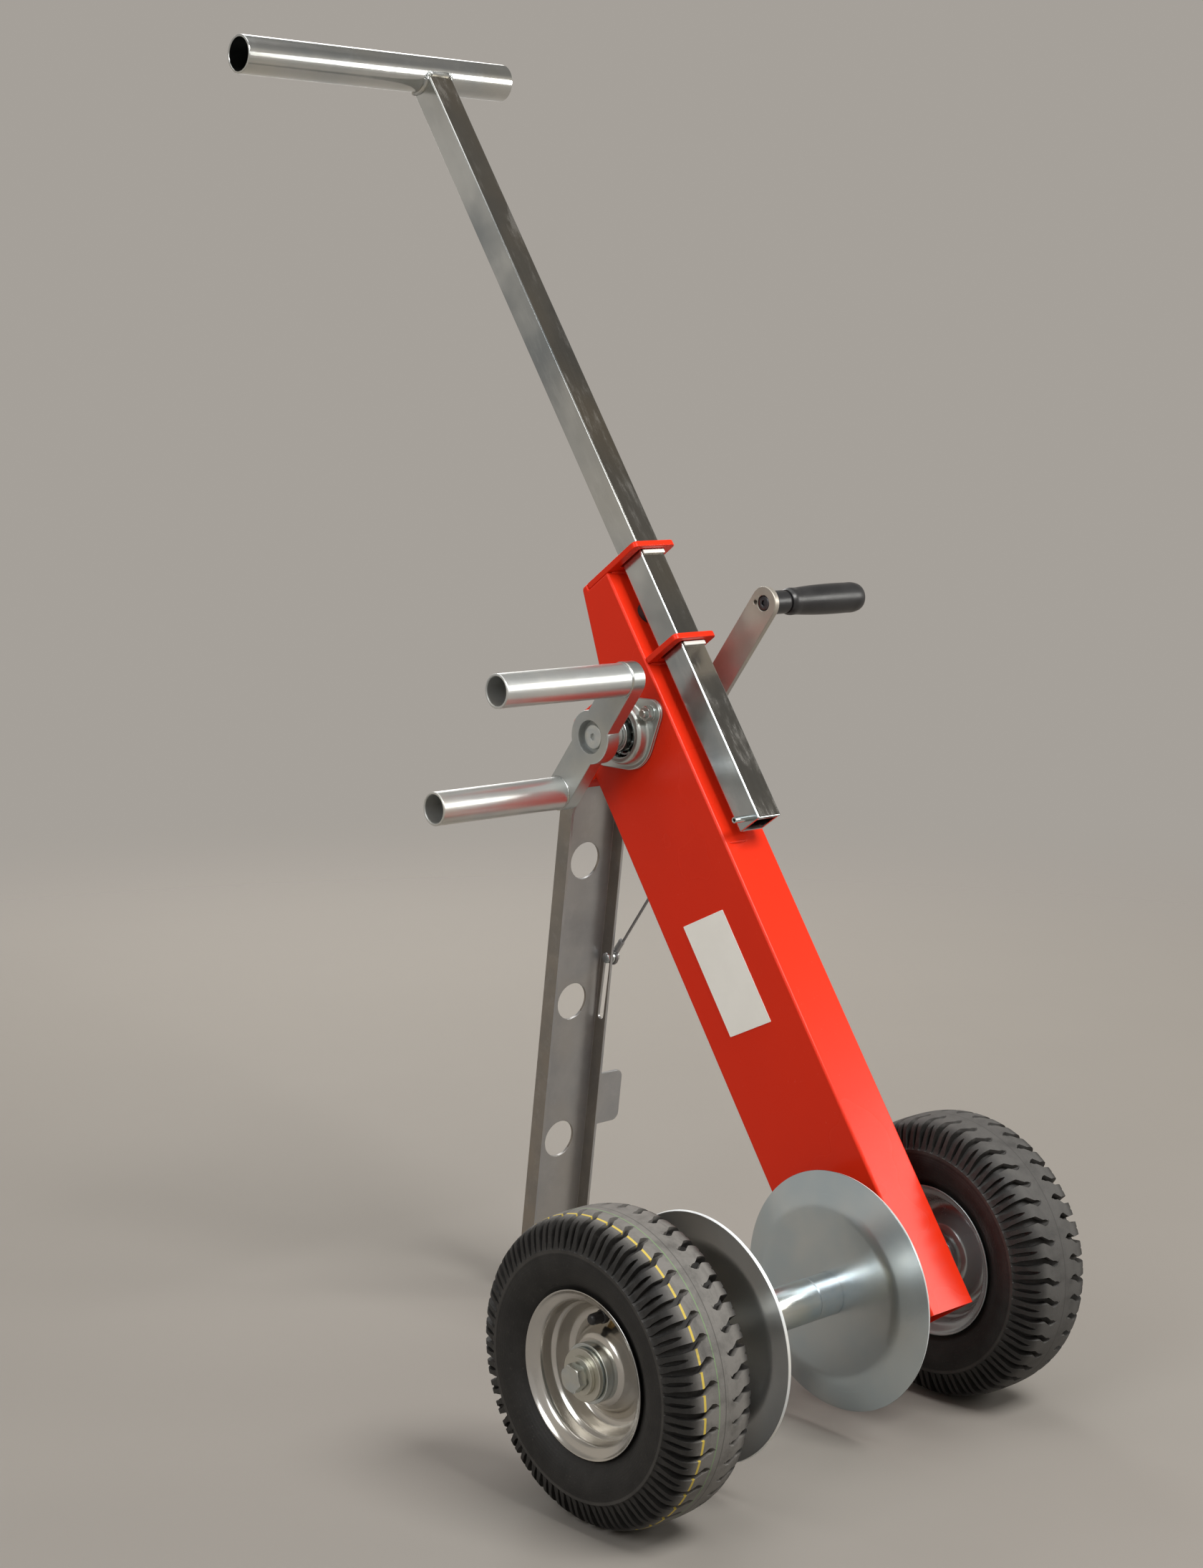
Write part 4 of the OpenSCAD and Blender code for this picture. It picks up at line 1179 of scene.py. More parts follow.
class Yard:
    """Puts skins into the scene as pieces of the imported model."""

    def __init__(self, nodes: dict[str, bpy.types.Object]) -> None:
        """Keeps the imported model's objects."""
        self.nodes = nodes

    @staticmethod
    def _enter(
        name: str, mesh: bpy.types.Mesh, body: Body, slot: str, nodes: Sequence[str], crease: float
    ) -> bpy.types.Object:
        """Makes a mesh a smooth-shaded piece that rides on a body and stands for its nodes.

        Args:
            name: The piece's name.
            mesh: Its mesh.
            body: The body that it rides on.
            slot: The record's material slot; not used.
            nodes: The nodes that it stands for.
            crease: Edges sharper than this, in degrees, stay sharp.

        Returns:
            The piece.
        """
        mesh.shade_smooth()
        mesh.set_sharp_from_angle(angle=math.radians(crease))
        piece = bpy.data.objects.new(name, mesh)
        bpy.context.scene.collection.objects.link(piece)
        even = piece.modifiers.new("even shading", "WEIGHTED_NORMAL")
        even.keep_sharp = True
        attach(piece, body.value)
        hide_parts(*nodes)
        LOG.info("%s: %d faces", name, len(mesh.polygons))
        return piece

    def publish(
        self,
        name: str,
        skin: Skin,
        finishes: Sequence[Finish],
        slot: str,
        nodes: Sequence[str] = (),
        crease: float = 34.0,
        *,
        place: Place,
        body: Body,
    ) -> bpy.types.Object:
        """Makes a skin a piece.

        Args:
            name: The piece's name.
            skin: Its points and faces, in millimetres.
            finishes: Its finishes, in the order of their numbers.
            slot: The record's material slot; not used.
            nodes: The nodes that it stands for.
            crease: Edges sharper than this, in degrees, stay sharp.
            place: The frame that the skin is in.
            body: The body that the piece rides on.

        Returns:
            The piece.
        """
        mesh = bpy.data.meshes.new(name)
        faces = functools.reduce(operator.add, [block.tolist() for block, _ in skin.faces])
        mesh.from_pydata(place.out(skin.points).tolist(), [], faces)
        numbers = np.concatenate([np.full(len(block), finish) for block, finish in skin.faces])
        mesh.polygons.foreach_set("material_index", numbers)
        for finish in finishes:
            mesh.materials.append(mixed(finish))
        mend(mesh)
        return self._enter(name, mesh, body, slot, nodes, crease)

    def at(self, place: Place, body: Body) -> Add:
        """Gives what publishes pieces that share a frame and a body."""
        return functools.partial(self.publish, place=place, body=body)

    def refit(
        self, node: str, finish: Finish, body: Body, slot: str, edge: float, left: Finish | None = None
    ) -> bpy.types.Object:
        """Puts a copy of a node in its place, with its doubles merged and its edges rounded.

        Args:
            node: The node.
            finish: The copy's finish.
            body: The body that it rides on.
            slot: The record's material slot; not used.
            edge: Radius of its edges, in millimetres.
            left: The finish of the faces that look to the left, where it is another one.

        Returns:
            The copy.
        """
        mesh = self.nodes[node].data.copy()
        mesh.materials.clear()
        mesh.materials.append(mixed(finish))
        mend(mesh, flat=math.radians(0.4))
        if left:
            mesh.materials.append(mixed(left))
            normals = np.empty(3 * len(mesh.polygons))
            mesh.polygons.foreach_get("normal", normals)
            mesh.polygons.foreach_set("material_index", (normals[::3] < -0.7).astype(int))
        piece = self._enter(f"{node}_dressed", mesh, body, slot, (node,), 28.0)
        soft = piece.modifiers.new("soft edges", "BEVEL")
        soft.width, soft.segments = edge * MM, 2
        soft.limit_method, soft.angle_limit = "ANGLE", math.radians(34.0)
        piece.modifiers.move(1, 0)
        return piece

    def keep(self, finish: Finish, *nodes: str) -> None:
        """Gives nodes whose shape is right a finish.

        Args:
            finish: The finish.
            nodes: The nodes.
        """
        for node in nodes:
            self.nodes[node].data.materials.clear()
            self.nodes[node].data.materials.append(mixed(finish))
            LOG.info("%s keeps its shape", node)


# Sub-assemblies


@dataclass
class Stay:
    """The wire stay between the beam and the leg's slot: a wire rope with an eye at each end.

    Attributes:
        reach: Distance between the middles of the eyes.
        out: How far it is from the beam's middle.
        eye: Radius of the wire's turn round an eye.
        wire: The wire's diameter.
        apart: How far the wire and its tails are from the line between the eyes.
        crimp: Where a crimp starts and ends, from its eye's middle.
        gap: How far from a crimp the turn round the eye begins.
        tail: How far a tail sticks out of its crimp.
        strands: Strands of the rope.
        lay: Length of one turn of the strands.
        groove: Depth of the grooves between the strands, as a share of the wire's radius.
    """

    reach: float = 142.98
    out: float = 42.5
    eye: float = 7.0
    wire: float = 3.0
    apart: float = 1.55
    crimp: Span = (9.5, 23.5)
    gap: float = 1.5
    tail: float = 2.0
    strands: int = 6
    lay: float = 16.0
    groove: float = 0.12

    def route(self) -> Array:
        """Gives the wire's line.

        It is a tail, once round the upper eye, and along to the lower eye, whose turn and tail are the
        upper ones turned by half a turn.

        Returns:
            The line's points.
        """
        a = np.radians(np.linspace(-64.0, 244.0, 40))
        turn = self.eye * np.column_stack([np.cos(a), np.sin(a)])
        neck = self.crimp[0] + self.gap
        tail = np.column_stack([np.full(7, self.apart), np.linspace(-self.crimp[1] - self.tail, -neck, 7)])
        run = np.column_stack([np.full(24, -self.apart), np.linspace(-neck, neck - self.reach, 24)])
        upper = np.concatenate([tail, turn])
        lower = -upper[::-1] - (0.0, self.reach)
        return Along.X.points(flowing(np.concatenate([upper, run, lower]), 260), self.out)

    def _rope(self, path: Array, sides: int = 18) -> Skin:
        """Gives the rope, whose radius is that of the wire less its grooves.

        A groove is 1 - |sin(strands b / 2)| of its depth, where b turns once with each lay.

        Args:
            path: The wire's line.
            sides: Points round the rope.

        Returns:
            The skin.
        """
        turn = angles(sides)[None] - travelled(path)[:, None] * TURN / self.lay
        lobes = np.abs(np.sin(self.strands / 2 * turn))
        radius = self.wire / 2 * (1.0 - self.groove * (1.0 - lobes))
        return swept(path, radius, (1.0, 0.0, 0.0), sides)

    def _crimp(self) -> Skin:
        """Gives a crimp above an eye: an oval tube that is pressed in at its ends and its middle.

        Returns:
            The skin.
        """
        low, high = self.crimp
        oval = ring(1.0, steps=28) * (2.35, 3.9)
        swell = (0.86, 1.0, 0.93, 1.0, 0.86)
        heights = (low, low + 0.7, (low + high) / 2, high - 0.7, high)
        shell = np.stack([Along.Z.points(oval * k, z) for k, z in zip(swell, heights)])
        return woven(shell) + capped(shell)

    def build(self, yard: Yard) -> None:
        """Builds the wire, its thimbles and crimps, and the slot's bolt.

        Args:
            yard: Where the pieces go.
        """
        add = yard.at(STAY, Body.STAY)
        path = self.route()
        piece = add("stay_wire_rope", self._rope(path), [WIRE], "bright_steel", ["stay_wire"], 60.0)
        line = STAY.out(path)
        tuple(line[0])
        lip = [(-1.5, 3.1), (-1.5, 5.5), (-0.6, 5.1), (0.6, 5.1), (1.5, 5.5), (1.5, 3.1)]
        thimble = lathe(eased(lip, 0.3, True, 4), 36).moved(self.out)
        thimbles = thimble + thimble.moved(z=-self.reach)
        add("eye_thimbles", thimbles, [SMALL_ZINC], "zinc", ["stay_thimbles"])
        crimp = self._crimp()
        crimps = crimp.turned(180.0) + crimp.moved(z=-self.reach)
        add("wire_crimps", crimps.moved(self.out), [SHEET_ZINC], "zinc", ["stay_ferrules"])
        yard.refit("slot_bolt", SMALL_ZINC, Body.STAY, "zinc", 0.5)
        yard.refit("slot_nut", SMALL_ZINC, Body.STAY, "zinc", 0.4)


@dataclass(frozen=True)
class GuidePlate:
    """A guide plate on the beam: its node, lower face, back edge and half the length of its weld."""

    node: str
    low: float
    back: float
    seam: float


@dataclass
class Beam:
    """The leaning box beam with its guides, label and fittings.

    Attributes:
        half: Half its width.
        sheet: Thickness of its sheet.
        bend: Radius of its long bends.
        side: Corners of its side, as (y, z).
        soft: Radius of each of these corners, below 0 for one that points inwards.
        hole: Radius of the shaft's holes.
        bar_y: Where the drawbar's middle is.
        plates: The guide plates.
        plate: Thickness of a guide plate.
        liner: Width of a liner and of its hole.
        label: The label's middle as (y, z), its width and its height.
        slant: How far the label's upper and lower edges slope, in degrees.
    """

    half: float = 28.0
    sheet: float = 3.0
    bend: float = 2.6
    side: tuple[Span, ...] = (
        (63, -54), (63, 611), (5, 611), (-23, 712), (-31, 712), (-31, 706), (-63, 706), (-63, -54),
    )
    soft: tuple[float, ...] = (0, 7, -10, 7, 1, -0.4, 2, 0)
    hole: float = 22.5
    bar_y: float = -88.0
    plates: tuple[GuidePlate, ...] = (
        GuidePlate("top_guide_plate", 706.0, -31.0, 22.0),
        GuidePlate("lower_guide_plate", 604.0, -63.0, 23.0),
    )
    plate: float = 6.0
    liner: Span = (34.0, 30.4)
    label: tuple[float, float, float, float] = (3.0, 307.5, 57.0, 115.0)
    slant: float = 9.0

    def _line(self, by: float) -> Array:
        """Gives the side's outline moved in.

        A corner that points out gets sharper as the outline moves in, and one that points in rounder.

        Args:
            by: How far it moves.

        Returns:
            The outline's points.
        """
        soft = np.array(self.soft)
        radius = np.where(soft > 0, np.maximum(soft - by, 0.2), np.where(soft < 0, by - soft, 0.0))
        return eased(mitred(self.side, by), radius, False, 9)

    def _shell(self, gap: float, holes: Sequence[Array]) -> tuple[Skin, Array]:
        """Gives the beam's skin moved in by a gap, and open below.

        Towards each side face the outline of the side moves in along a quarter circle.

        Args:
            gap: How far the skin moves in.
            holes: Outlines of the holes in the side faces.

        Returns:
            The skin, and the loop of its lower edge.
        """
        half = self.half - gap
        cut, rise = rounded(self.bend, 7)
        by = np.concatenate([cut, cut[::-1]])
        at = np.concatenate([rise - half, half - rise[::-1]])
        rows = np.stack([Along.X.points(self._line(gap + b), x) for b, x in zip(by, at)])
        flat = self._line(gap + self.bend)
        sides = joined(lid([flat, *holes], x, Along.X) for x in (-half, half))
        return woven(rows, False) + sides, np.concatenate([rows[:, 0], rows[::-1, -1]])

    def _housing(self) -> Skin:
        """Gives the beam.

        Returns:
            Two shells, joined along the open lower end and round the shaft's holes.
        """
        hole = ring(self.hole, SHAFT_AT, 64)
        (outer, edge), (inner, lip) = self._shell(0.0, [hole]), self._shell(self.sheet, [hole])
        skin = outer + inner + woven(np.stack([edge, lip]))
        for k in (-1, 1):
            wall = [Along.X.points(hole, k * x) for x in (self.half, self.half - self.sheet)]
            skin += woven(np.stack(wall))
        return skin

    def _guides(self, add: Add) -> None:
        """Builds the guide plates and the liners in them.

        Args:
            add: Publishes a piece of the beam.
        """
        wide, bore = self.liner
        at = (0.0, self.bar_y)
        hole = box_loop(wide + 0.2, wide + 0.2, 3.0, at)
        for plate in self.plates:
            corners = [(-27, -111), (27, -111), (27, plate.back), (-27, plate.back)]
            loop = eased(corners, (6, 6, 2, 2), True, 8)
            skin = slab(loop, plate.low, plate.low + self.plate, 0.9, [hole], Along.Z)
            add(f"{plate.node}_pressed", skin, [RED], "red_paint", [plate.node])
        sleeve, inside = box_loop(wide, wide, 3.0, at), box_loop(bore, bore, 0.8, at)
        wall = (wide - bore) / 2
        lip = box_loop(bore - 3.0, wall, 0.5, (1.0, self.bar_y - bore / 2 - wall / 2))
        tops = [plate.low + self.plate for plate in self.plates]
        liners = joined(
            slab(sleeve, top - 3.0, top + 0.4, 0.3, [inside], Along.Z)
            + slab(lip, top - 10.5, top - 6.5, 0.3, (), Along.Z)
            for top in tops
        )
        add("guide_sleeves", liners, [WHITE], "white_plastic", ["guide_liners"])

    def _label(self) -> Skin:
        """Gives the label, a slanting sheet on the beam's left side.

        Returns:
            The skin.
        """
        y, z, wide, tall = self.label
        rise = wide / 2 * math.tan(math.radians(self.slant))
        ways = ((-1, -1), (1, -1), (1, 1), (-1, 1))
        corners = [(y + j * wide / 2, z + k * tall / 2 + j * rise) for j, k in ways]
        return slab(eased(corners, 0.8), -self.half - 0.5, -self.half, 0.12)

    @staticmethod
    def _seam(ends: Span, y: float, z: float, bead: Array, fade: Array) -> Skin:
        """Gives a weld seam across the beam's front that runs out at its ends.

        Args:
            ends: Where it starts and ends across the beam.
            y: Where it is along Y.
            z: Where it is along Z.
            bead: The bead's radius along it.
            fade: What the radius's square is multiplied by along it.

        Returns:
            The skin.
        """
        x = np.linspace(*ends, len(bead))
        path = np.column_stack([x, np.full_like(x, y), np.full_like(x, z)])
        return swept(path, bead * np.sqrt(np.clip(fade, 0.02, 1.0)), (0.0, 0.0, 1.0), 10)

    def _welds(self) -> Skin:
        """Gives the painted weld seams: under the guide plates, and a short one across the beam's front.

        Returns:
            The skin.
        """
        t = np.linspace(-1.0, 1.0, 61)
        bead, fade = ripple(61, 1.9, 0.16, (21, 34)), 1.02 - t**6
        seams = [self._seam((-p.seam, p.seam), -63.4, p.low - 0.8, bead, fade) for p in self.plates]
        t = np.linspace(0.0, 1.0, 41)
        bead, fade = ripple(41, 1.5, 0.2, (9, 17)), 4.2 * t * (1.02 - t)
        return joined([*seams, self._seam((-22.5, -1.0), -63.0, 411.0, bead, fade)])

    def build(self, yard: Yard) -> None:
        """Builds the beam and what is fixed to it.

        Args:
            yard: Where the pieces go.
        """
        add = yard.at(BEAM, Body.FRAME)
        add("beam_shell", self._housing(), [RED], "red_paint", ["beam_housing"], 30.0)
        self._guides(add)
        pad = slab(ring(11.0, (0.0, 658.0)), -72.8, -62.9, 1.0, (), Along.Y)
        add("brake_pad", pad, [RUBBER], "rubber", ["friction_pad"])
        add("blank_label", self._label(), [FILM], "label", ["rating_plate"])
        add("painted_welds", self._welds(), [RED], "red_paint", (), 70.0)
        yard.refit("hinge_bracket", RED, Body.FRAME, "red_paint", 0.8)
        yard.refit("anchor_lug", RED, Body.FRAME, "red_paint", 0.6)
        for node, edge in (("hinge_bolt", 0.5), ("hinge_nut", 0.5), ("anchor_bolt", 0.4)):
            yard.refit(node, SMALL_ZINC, Body.FRAME, "zinc", edge)


@dataclass
class Axle:
    """The axle's tube through the beam with its weld beads, its spacers, and the bolts on its ends."""

    half: float = 33.0
    radius: float = 17.0
    bore: float = 10.02
    weld: float = 28.2
    ends: Span = (-361.3, 129.3)
    spacers: tuple[Span, ...] = ((-298.7, -228.3), (-66.7, -33.0), (33.0, 66.7))

    def _both(self, skin: Skin) -> Skin:
        """Puts an outward facing skin on both ends of the axle."""
        return skin.flipped().moved(self.ends[0]) + skin.moved(self.ends[1])

    def build(self, yard: Yard) -> None:
        """Builds the axle's pieces.

        Args:
            yard: Where the pieces go.
        """
        add = yard.at(AXLE, Body.FRAME)
        tube = pipe(-self.half, self.half, self.radius, self.bore, 1.0)
        path = hoop(self.weld, self.radius + 0.2, 96)
        bead = swept(path, ripple(96, 2.2, 0.12, (31, 47)), (1.0, 0.0, 0.0), 10, True)
        add("axle_sleeve", tube + bead.paired(), [RED], "red_paint", ["axle_tube"])
        spacers = joined(pipe(low, high, 13.5, self.bore, 0.7) for low, high in self.spacers)
        add("axle_spacer_tubes", spacers, [TUBE_ZINC], "zinc", ["axle_spacers"])
        washer = pipe(0.0, 4.0, 22.0, 6.1, 0.5, 96) + pipe(4.0, 8.0, 16.0, 6.1, 0.5, 96)
        add("axle_end_washers", self._both(washer), [BLUE_ZINC], "zinc", ["axle_washers"])
        bolt = hexed(21.0, 9.4, 17.0) + pipe(8.0, 9.4, 10.2, 6.0, 0.4) + rod(-20.0, 9.4, 6.0, 0.5)
        add("axle_end_bolts", self._both(bolt.turned(14.0)), [SMALL_ZINC], "zinc", ["axle_bolts"])
        yard.keep(TUBE_ZINC, "axle_shaft")


@dataclass(frozen=True)
class Groove:
    """A cross groove of a tyre's tread: half its width, and its depth, at distances from the crown."""

    half: tuple[Span, ...]
    deep: tuple[Span, ...]

    def sized(self, q: Array) -> tuple[Array, Array]:
        """Gives half the width and the depth at some distances from the crown."""
        return np.interp(q, *zip(*self.half)), np.interp(q, *zip(*self.deep))


@dataclass
class Wheel:
    """A pneumatic wheel: a block-treaded tyre on a deep dished rim.

    Attributes:
        name: What its pieces' names start with.
        body: The body that they ride on.
        middle: Where it is along the axle.
        side: The way that it faces: 1 for the right, -1 for the left.
        dust: Colour of the dust and painted sheen on the tyre, paler on the left tyre as painted light.
        stripes: Lines of paint on the tyre.
        radius: The tyre's radius.
        pitches: How often the tread repeats.
        hook: How far the main groove hooks sideways at its inner end.
        wall: Width of a groove's wall.
        main: The main groove of each pitch.
        second: The short groove between two main ones.
        valve: How far from the axle the valve is.
        half_tyre: Half the tyre's section, from the crown to the rim, as (x, radius).
        half_rim: Half the rim's section, from the hub outwards and back, as (x, radius).
    """

    name: str
    body: Body
    middle: float
    side: int
    dust: Colour
    stripes: tuple[Stripe, ...] = ()
    radius: float = 130.0
    pitches: int = 44
    hook: float = 4.9
    wall: float = 0.35
    main: Groove = Groove(
        (
            (8.6, 0.4), (10.6, 2.1), (14, 2.7), (18, 2.5), (22.5, 2.8), (30, 3.0), (36, 3.1), (46, 2.7),
            (54, 1.3),
        ),
        (
            (8.0, 0), (10.2, 4.2), (15, 6.0), (22.5, 6.6), (34, 6.9), (40, 6.4), (48, 4.8), (54, 2.0),
            (57, 0),
        ),
    )
    second: Groove = Groove(
        ((31, 0.3), (34, 1.0), (40, 1.7), (50, 1.6), (54, 0.6)),
        ((30.5, 0), (33, 2.8), (38, 5.0), (48, 4.2), (54, 1.6), (57, 0)),
    )
    valve: float = 44.0
    half_tyre: tuple[Span, ...] = (
        (0, 129.9), (10, 129.8), (20, 128.9), (28, 126.9), (33, 124), (35.6, 120.5), (37.6, 115.5),
        (39.6, 109.5), (41.2, 104.6), (42.1, 103.2), (42.3, 101.8), (41.9, 100.4), (42.2, 97.5), (42.3, 93),
        (41.5, 88), (39.8, 83), (37.4, 78.5), (34.6, 74.5), (32.2, 71), (30.6, 68), (29.6, 65), (28.6, 62),
    )
    half_rim: tuple[Span, ...] = (
        (20.5, 25.0), (20.5, 27), (18.5, 31), (12, 34.5), (4.5, 38), (2.2, 42), (2.2, 46), (4.5, 50),
        (11, 53), (15.5, 54.5), (17.2, 56.5), (18.2, 57.5), (27, 58.6), (30, 60), (31.8, 63), (33.6, 66.5),
        (35.6, 68.4), (36.2, 69.4), (35.4, 70), (33.8, 69.2), (32.2, 66.5), (30, 62.5), (27, 61.2),
    )

    @property
    def pitch(self) -> float:
        """Gives the length of a pitch of the tread."""
        return TURN * self.radius / self.pitches

    def _columns(self, q: Array, middle: Array) -> tuple[Array, Array]:
        """Gives the columns of one pitch, which follow the edges of its grooves.

        Off the tread, at the crown and on the wall, they turn into evenly spaced ones.

        Args:
            q: Distances from the crown.
            middle: Where the main groove's middle is along the pitch, at each of them.

        Returns:
            The columns' places along the pitch, and their depths.
        """
        wide, deep = self.main.sized(q)
        slim, shallow = self.second.sized(q)
        end, flat = self.pitch / 2, np.zeros(len(q))
        first, left, right, last = slim - end, middle - wide, middle + wide, end - slim
        edges = [
            flat - end, first, first + self.wall, (first + left) / 2, left - self.wall, left,
            middle, right, right + self.wall, (right + last) / 2, last - self.wall, last,
        ]
        depths = [shallow, shallow, flat, flat, flat, deep, deep, deep, flat, flat, flat, shallow]
        even = np.linspace(-end, end, len(edges), endpoint=False)
        share = np.interp(q, [5.0, 8.2, 54.0, 60.0], [0, 1, 1, 0])[:, None]
        return even + share * (np.column_stack(edges) - even), np.column_stack(depths)

    def _half(self, line: Array, q: Array, side: float) -> Array:
        """Gives one half of the tyre's grid.

        The points in a groove move in along the section's normal by its depth. On the left half the
        columns are rolled on by half a pitch, and the main groove hooks the other way.

        Args:
            line: The section's points, as (x, radius).
            q: Their distances from the crown.
            side: 1 for the right half, -1 for the left one.

        Returns:
            A row of points for each point of the section.
        """
        run = np.gradient(line, q, axis=0)
        normal = unit(np.column_stack([-run[:, 1], run[:, 0]]))
        place, deep = self._columns(q, -side * self.hook * np.interp(q, [14.5, 21.5], [1.0, 0.0]))
        count = deep.shape[1]
        if side < 0.0:
            roll = count // 2
            shift = np.where(np.arange(count) < count - roll, -self.pitch / 2, self.pitch / 2)
            place, deep = np.roll(place, -roll, 1) + shift, np.roll(deep, -roll, 1)
        start = np.repeat(np.arange(self.pitches) * self.pitch, count)
        angle = (start + np.tile(place, (1, self.pitches))) / self.radius
        at = line[:, None] - normal[:, None] * np.tile(deep, (1, self.pitches))[:, :, None]
        x, radius = at[..., 0], at[..., 1]
        return np.stack([side * x, -radius * np.sin(angle), radius * np.cos(angle)], -1)

    def _tyre(self) -> Skin:
        """Gives the tyre: its section carried round the axle.

        From shoulder to wall each pitch of the tread has two cross grooves whose width and depth change
        with the distance q from the crown.

        Returns:
            The skin.
        """
        even = flowing(self.half_tyre, 600)
        far = travelled(even)
        tread = 57.0
        q = np.concatenate([np.linspace(0.0, tread, 48), np.linspace(tread, far[-1], 15)[1:]])
        right, left = (self._half(picked(even, far, q), q, side) for side in (1.0, -1.0))
        return woven(np.concatenate([left[::-1], right[1:]]), True, True)

    def _rim(self) -> Skin:
        """Gives the rim: half a section, smoothed and mirrored, turned about the axle."""
        half = eased(self.half_rim, 1.6, False, 4)
        return lathe(np.concatenate([half, half[::-1] * (-1.0, 1.0)]), 144)

    def _bearing(self) -> Skin:
        """Gives a bearing's end, which shows an outer ring, a sunk shield and an inner ring.

        Returns:
            The skin.
        """
        line = [
            (16, 10.06), (31, 10.06), (31, 12.8), (30.3, 13.2), (30.1, 17.6), (31, 18.2), (31, 21), (16, 21),
        ]
        return lathe(eased(line, 0.35, True, 4))

    def _cap(self) -> Skin:
        """Gives the valve's cap, with ribs round its wide end.

        Returns:
            The skin.
        """
        outside = [(9.5, 3.5), (9.5, 5.7), (14.5, 5.7), (15, 5.0), (24.5, 4.7), (26.5, 3.4), (26.5, 0)]
        line = eased(outside, 0.7, False, 5)
        x, radius = line[:, :1], line[:, 1:]
        ribs = 1.0 + 0.035 * np.sign(np.sin(18.0 * angles(ROUND)))
        ribbed = np.where((x > 9.9) & (x < 14.4), ribs[None], 1.0)
        return spun(x, radius * ribbed, closed=False) + lathe([(9.5, 3.5), (18, 3.5), (18, 0)], closed=False)

    def build(self, yard: Yard) -> None:
        """Builds the wheel's pieces.

        Args:
            yard: Where the pieces go.
        """
        place = AXLE.shifted(self.middle, 0.0, 0.0)
        centre = tuple(part * MM for part in place.at)
        rubber = TreadRubber(f"{self.name} tyre rubber", centre, self.dust, self.stripes)
        add = yard.at(place, self.body)
        # The right wheel's rim takes the darker finish as painted shade.
        rim = POLISHED if self.side < 0 else SHADED_RIM
        barrel = pipe(-30.0, 30.0, 25.0, 21.02, 0.8, 96)
        line = [(0.1, 0), (0.1, 4.9), (3.2, 4.9), (3.6, 4), (8, 3.9), (8.4, 3.4), (19.5, 3.2), (19.5, 0)]
        stem = lathe(eased(line, 0.4, False, 4), 36, False).moved(z=self.valve)
        cap = self._cap().moved(z=self.valve)
        for name, skin, finish, slot, node, crease in (
            ("treaded_tyre", self._tyre(), rubber, "tyre", "tyre", 32.0),
            ("dished_rim", self._rim(), rim, "rim_alloy", "rim", 50.0),
            ("hub_barrel", barrel, SMALL_ZINC, "zinc", "hub", 34.0),
            ("bearing_pair", self._bearing().paired(), SMALL_ZINC, "zinc", "wheel_bearings", 34.0),
            ("valve_stem", stem, BRASS, "brass", "valve", 34.0),
            ("valve_dust_cap", cap, BLACK, "black_plastic", "valve_cap", 34.0),
        ):
            faced = skin if self.side > 0 else skin.flipped()
            add(f"{self.name}_{name}", faced, [finish], slot, [f"{self.name}_{node}"], crease)


@dataclass
class GuideRoller:
    """The roller on the axle: a tube between two flared discs, the right one and one a gap away."""

    right: float = -73.0
    gap: float = 149.0
    tube: float = 19.0
    bore: float = 16.5
    sheet: float = 3.0

    def _disc(self) -> Skin:
        """Gives a disc that flares out to the right, with the cut edge of its sheet as a second finish,
        which is pale as a painted highlight.

        Returns:
            The skin.
        """
        middle = self.sheet / 2
        bend = eased([(middle, self.tube + 0.4), (middle, 78.0), (12.0, 106.6)], (0, 6, 0), False, 8)
        run = (bend[-1] - bend[-2]) / np.linalg.norm(bend[-1] - bend[-2])
        across = np.array([-run[1], run[0]])
        edge = [bend[-1] + 0.53 * run + k * across for k in (1.15, 0.4, -0.4, -1.15)]
        return lathe(thick(bend, self.sheet, 0.5), 168) + lathe(edge, 168, False, 1)

    def build(self, yard: Yard) -> None:
        """Builds the discs, the tube and its bushes.

        Args:
            yard: Where the pieces go.
        """
        add = yard.at(AXLE, Body.ROLLER)
        disc, left = self._disc(), self.right - self.gap
        near, far = disc.moved(self.right), disc.flipped().moved(left)
        add("right_flared_disc", near, [DISC_ZINC, DISC_EDGE_HIGHLIGHT], "zinc", ["right_disc"], 40.0)
        # The left disc takes the darker zinc as painted shade.
        add("left_flared_disc", far, [SHADED_LEFT_DISC, DISC_EDGE_HIGHLIGHT], "zinc", ["left_disc"], 40.0)
        low, high, seam = left - self.sheet, self.right + self.sheet, self.right - 28.0
        floor = self.tube - 1.0
        groove = [(seam, self.tube), (seam, floor), (seam + 0.7, floor), (seam + 0.7, self.tube)]
        line = [(low, self.bore), (low, self.tube), *groove, (high, self.tube), (high, self.bore)]
        barrel = lathe(eased(line, 0.3, True, 4), 96)
        add("roller_barrel", barrel, [ROLLER_ZINC], "zinc", ["roller_tube"])
        line = [(-20, 10.06), (3, 10.06), (3, 20), (0.05, 20), (0.05, 16.4), (-20, 16.4)]
        bush = lathe(eased(line, 0.6, True, 4))
        bushes = bush.moved(high) + bush.flipped().moved(low)
        add("roller_end_bushes", bushes, [WHITE], "white_plastic", ["roller_bushes"])


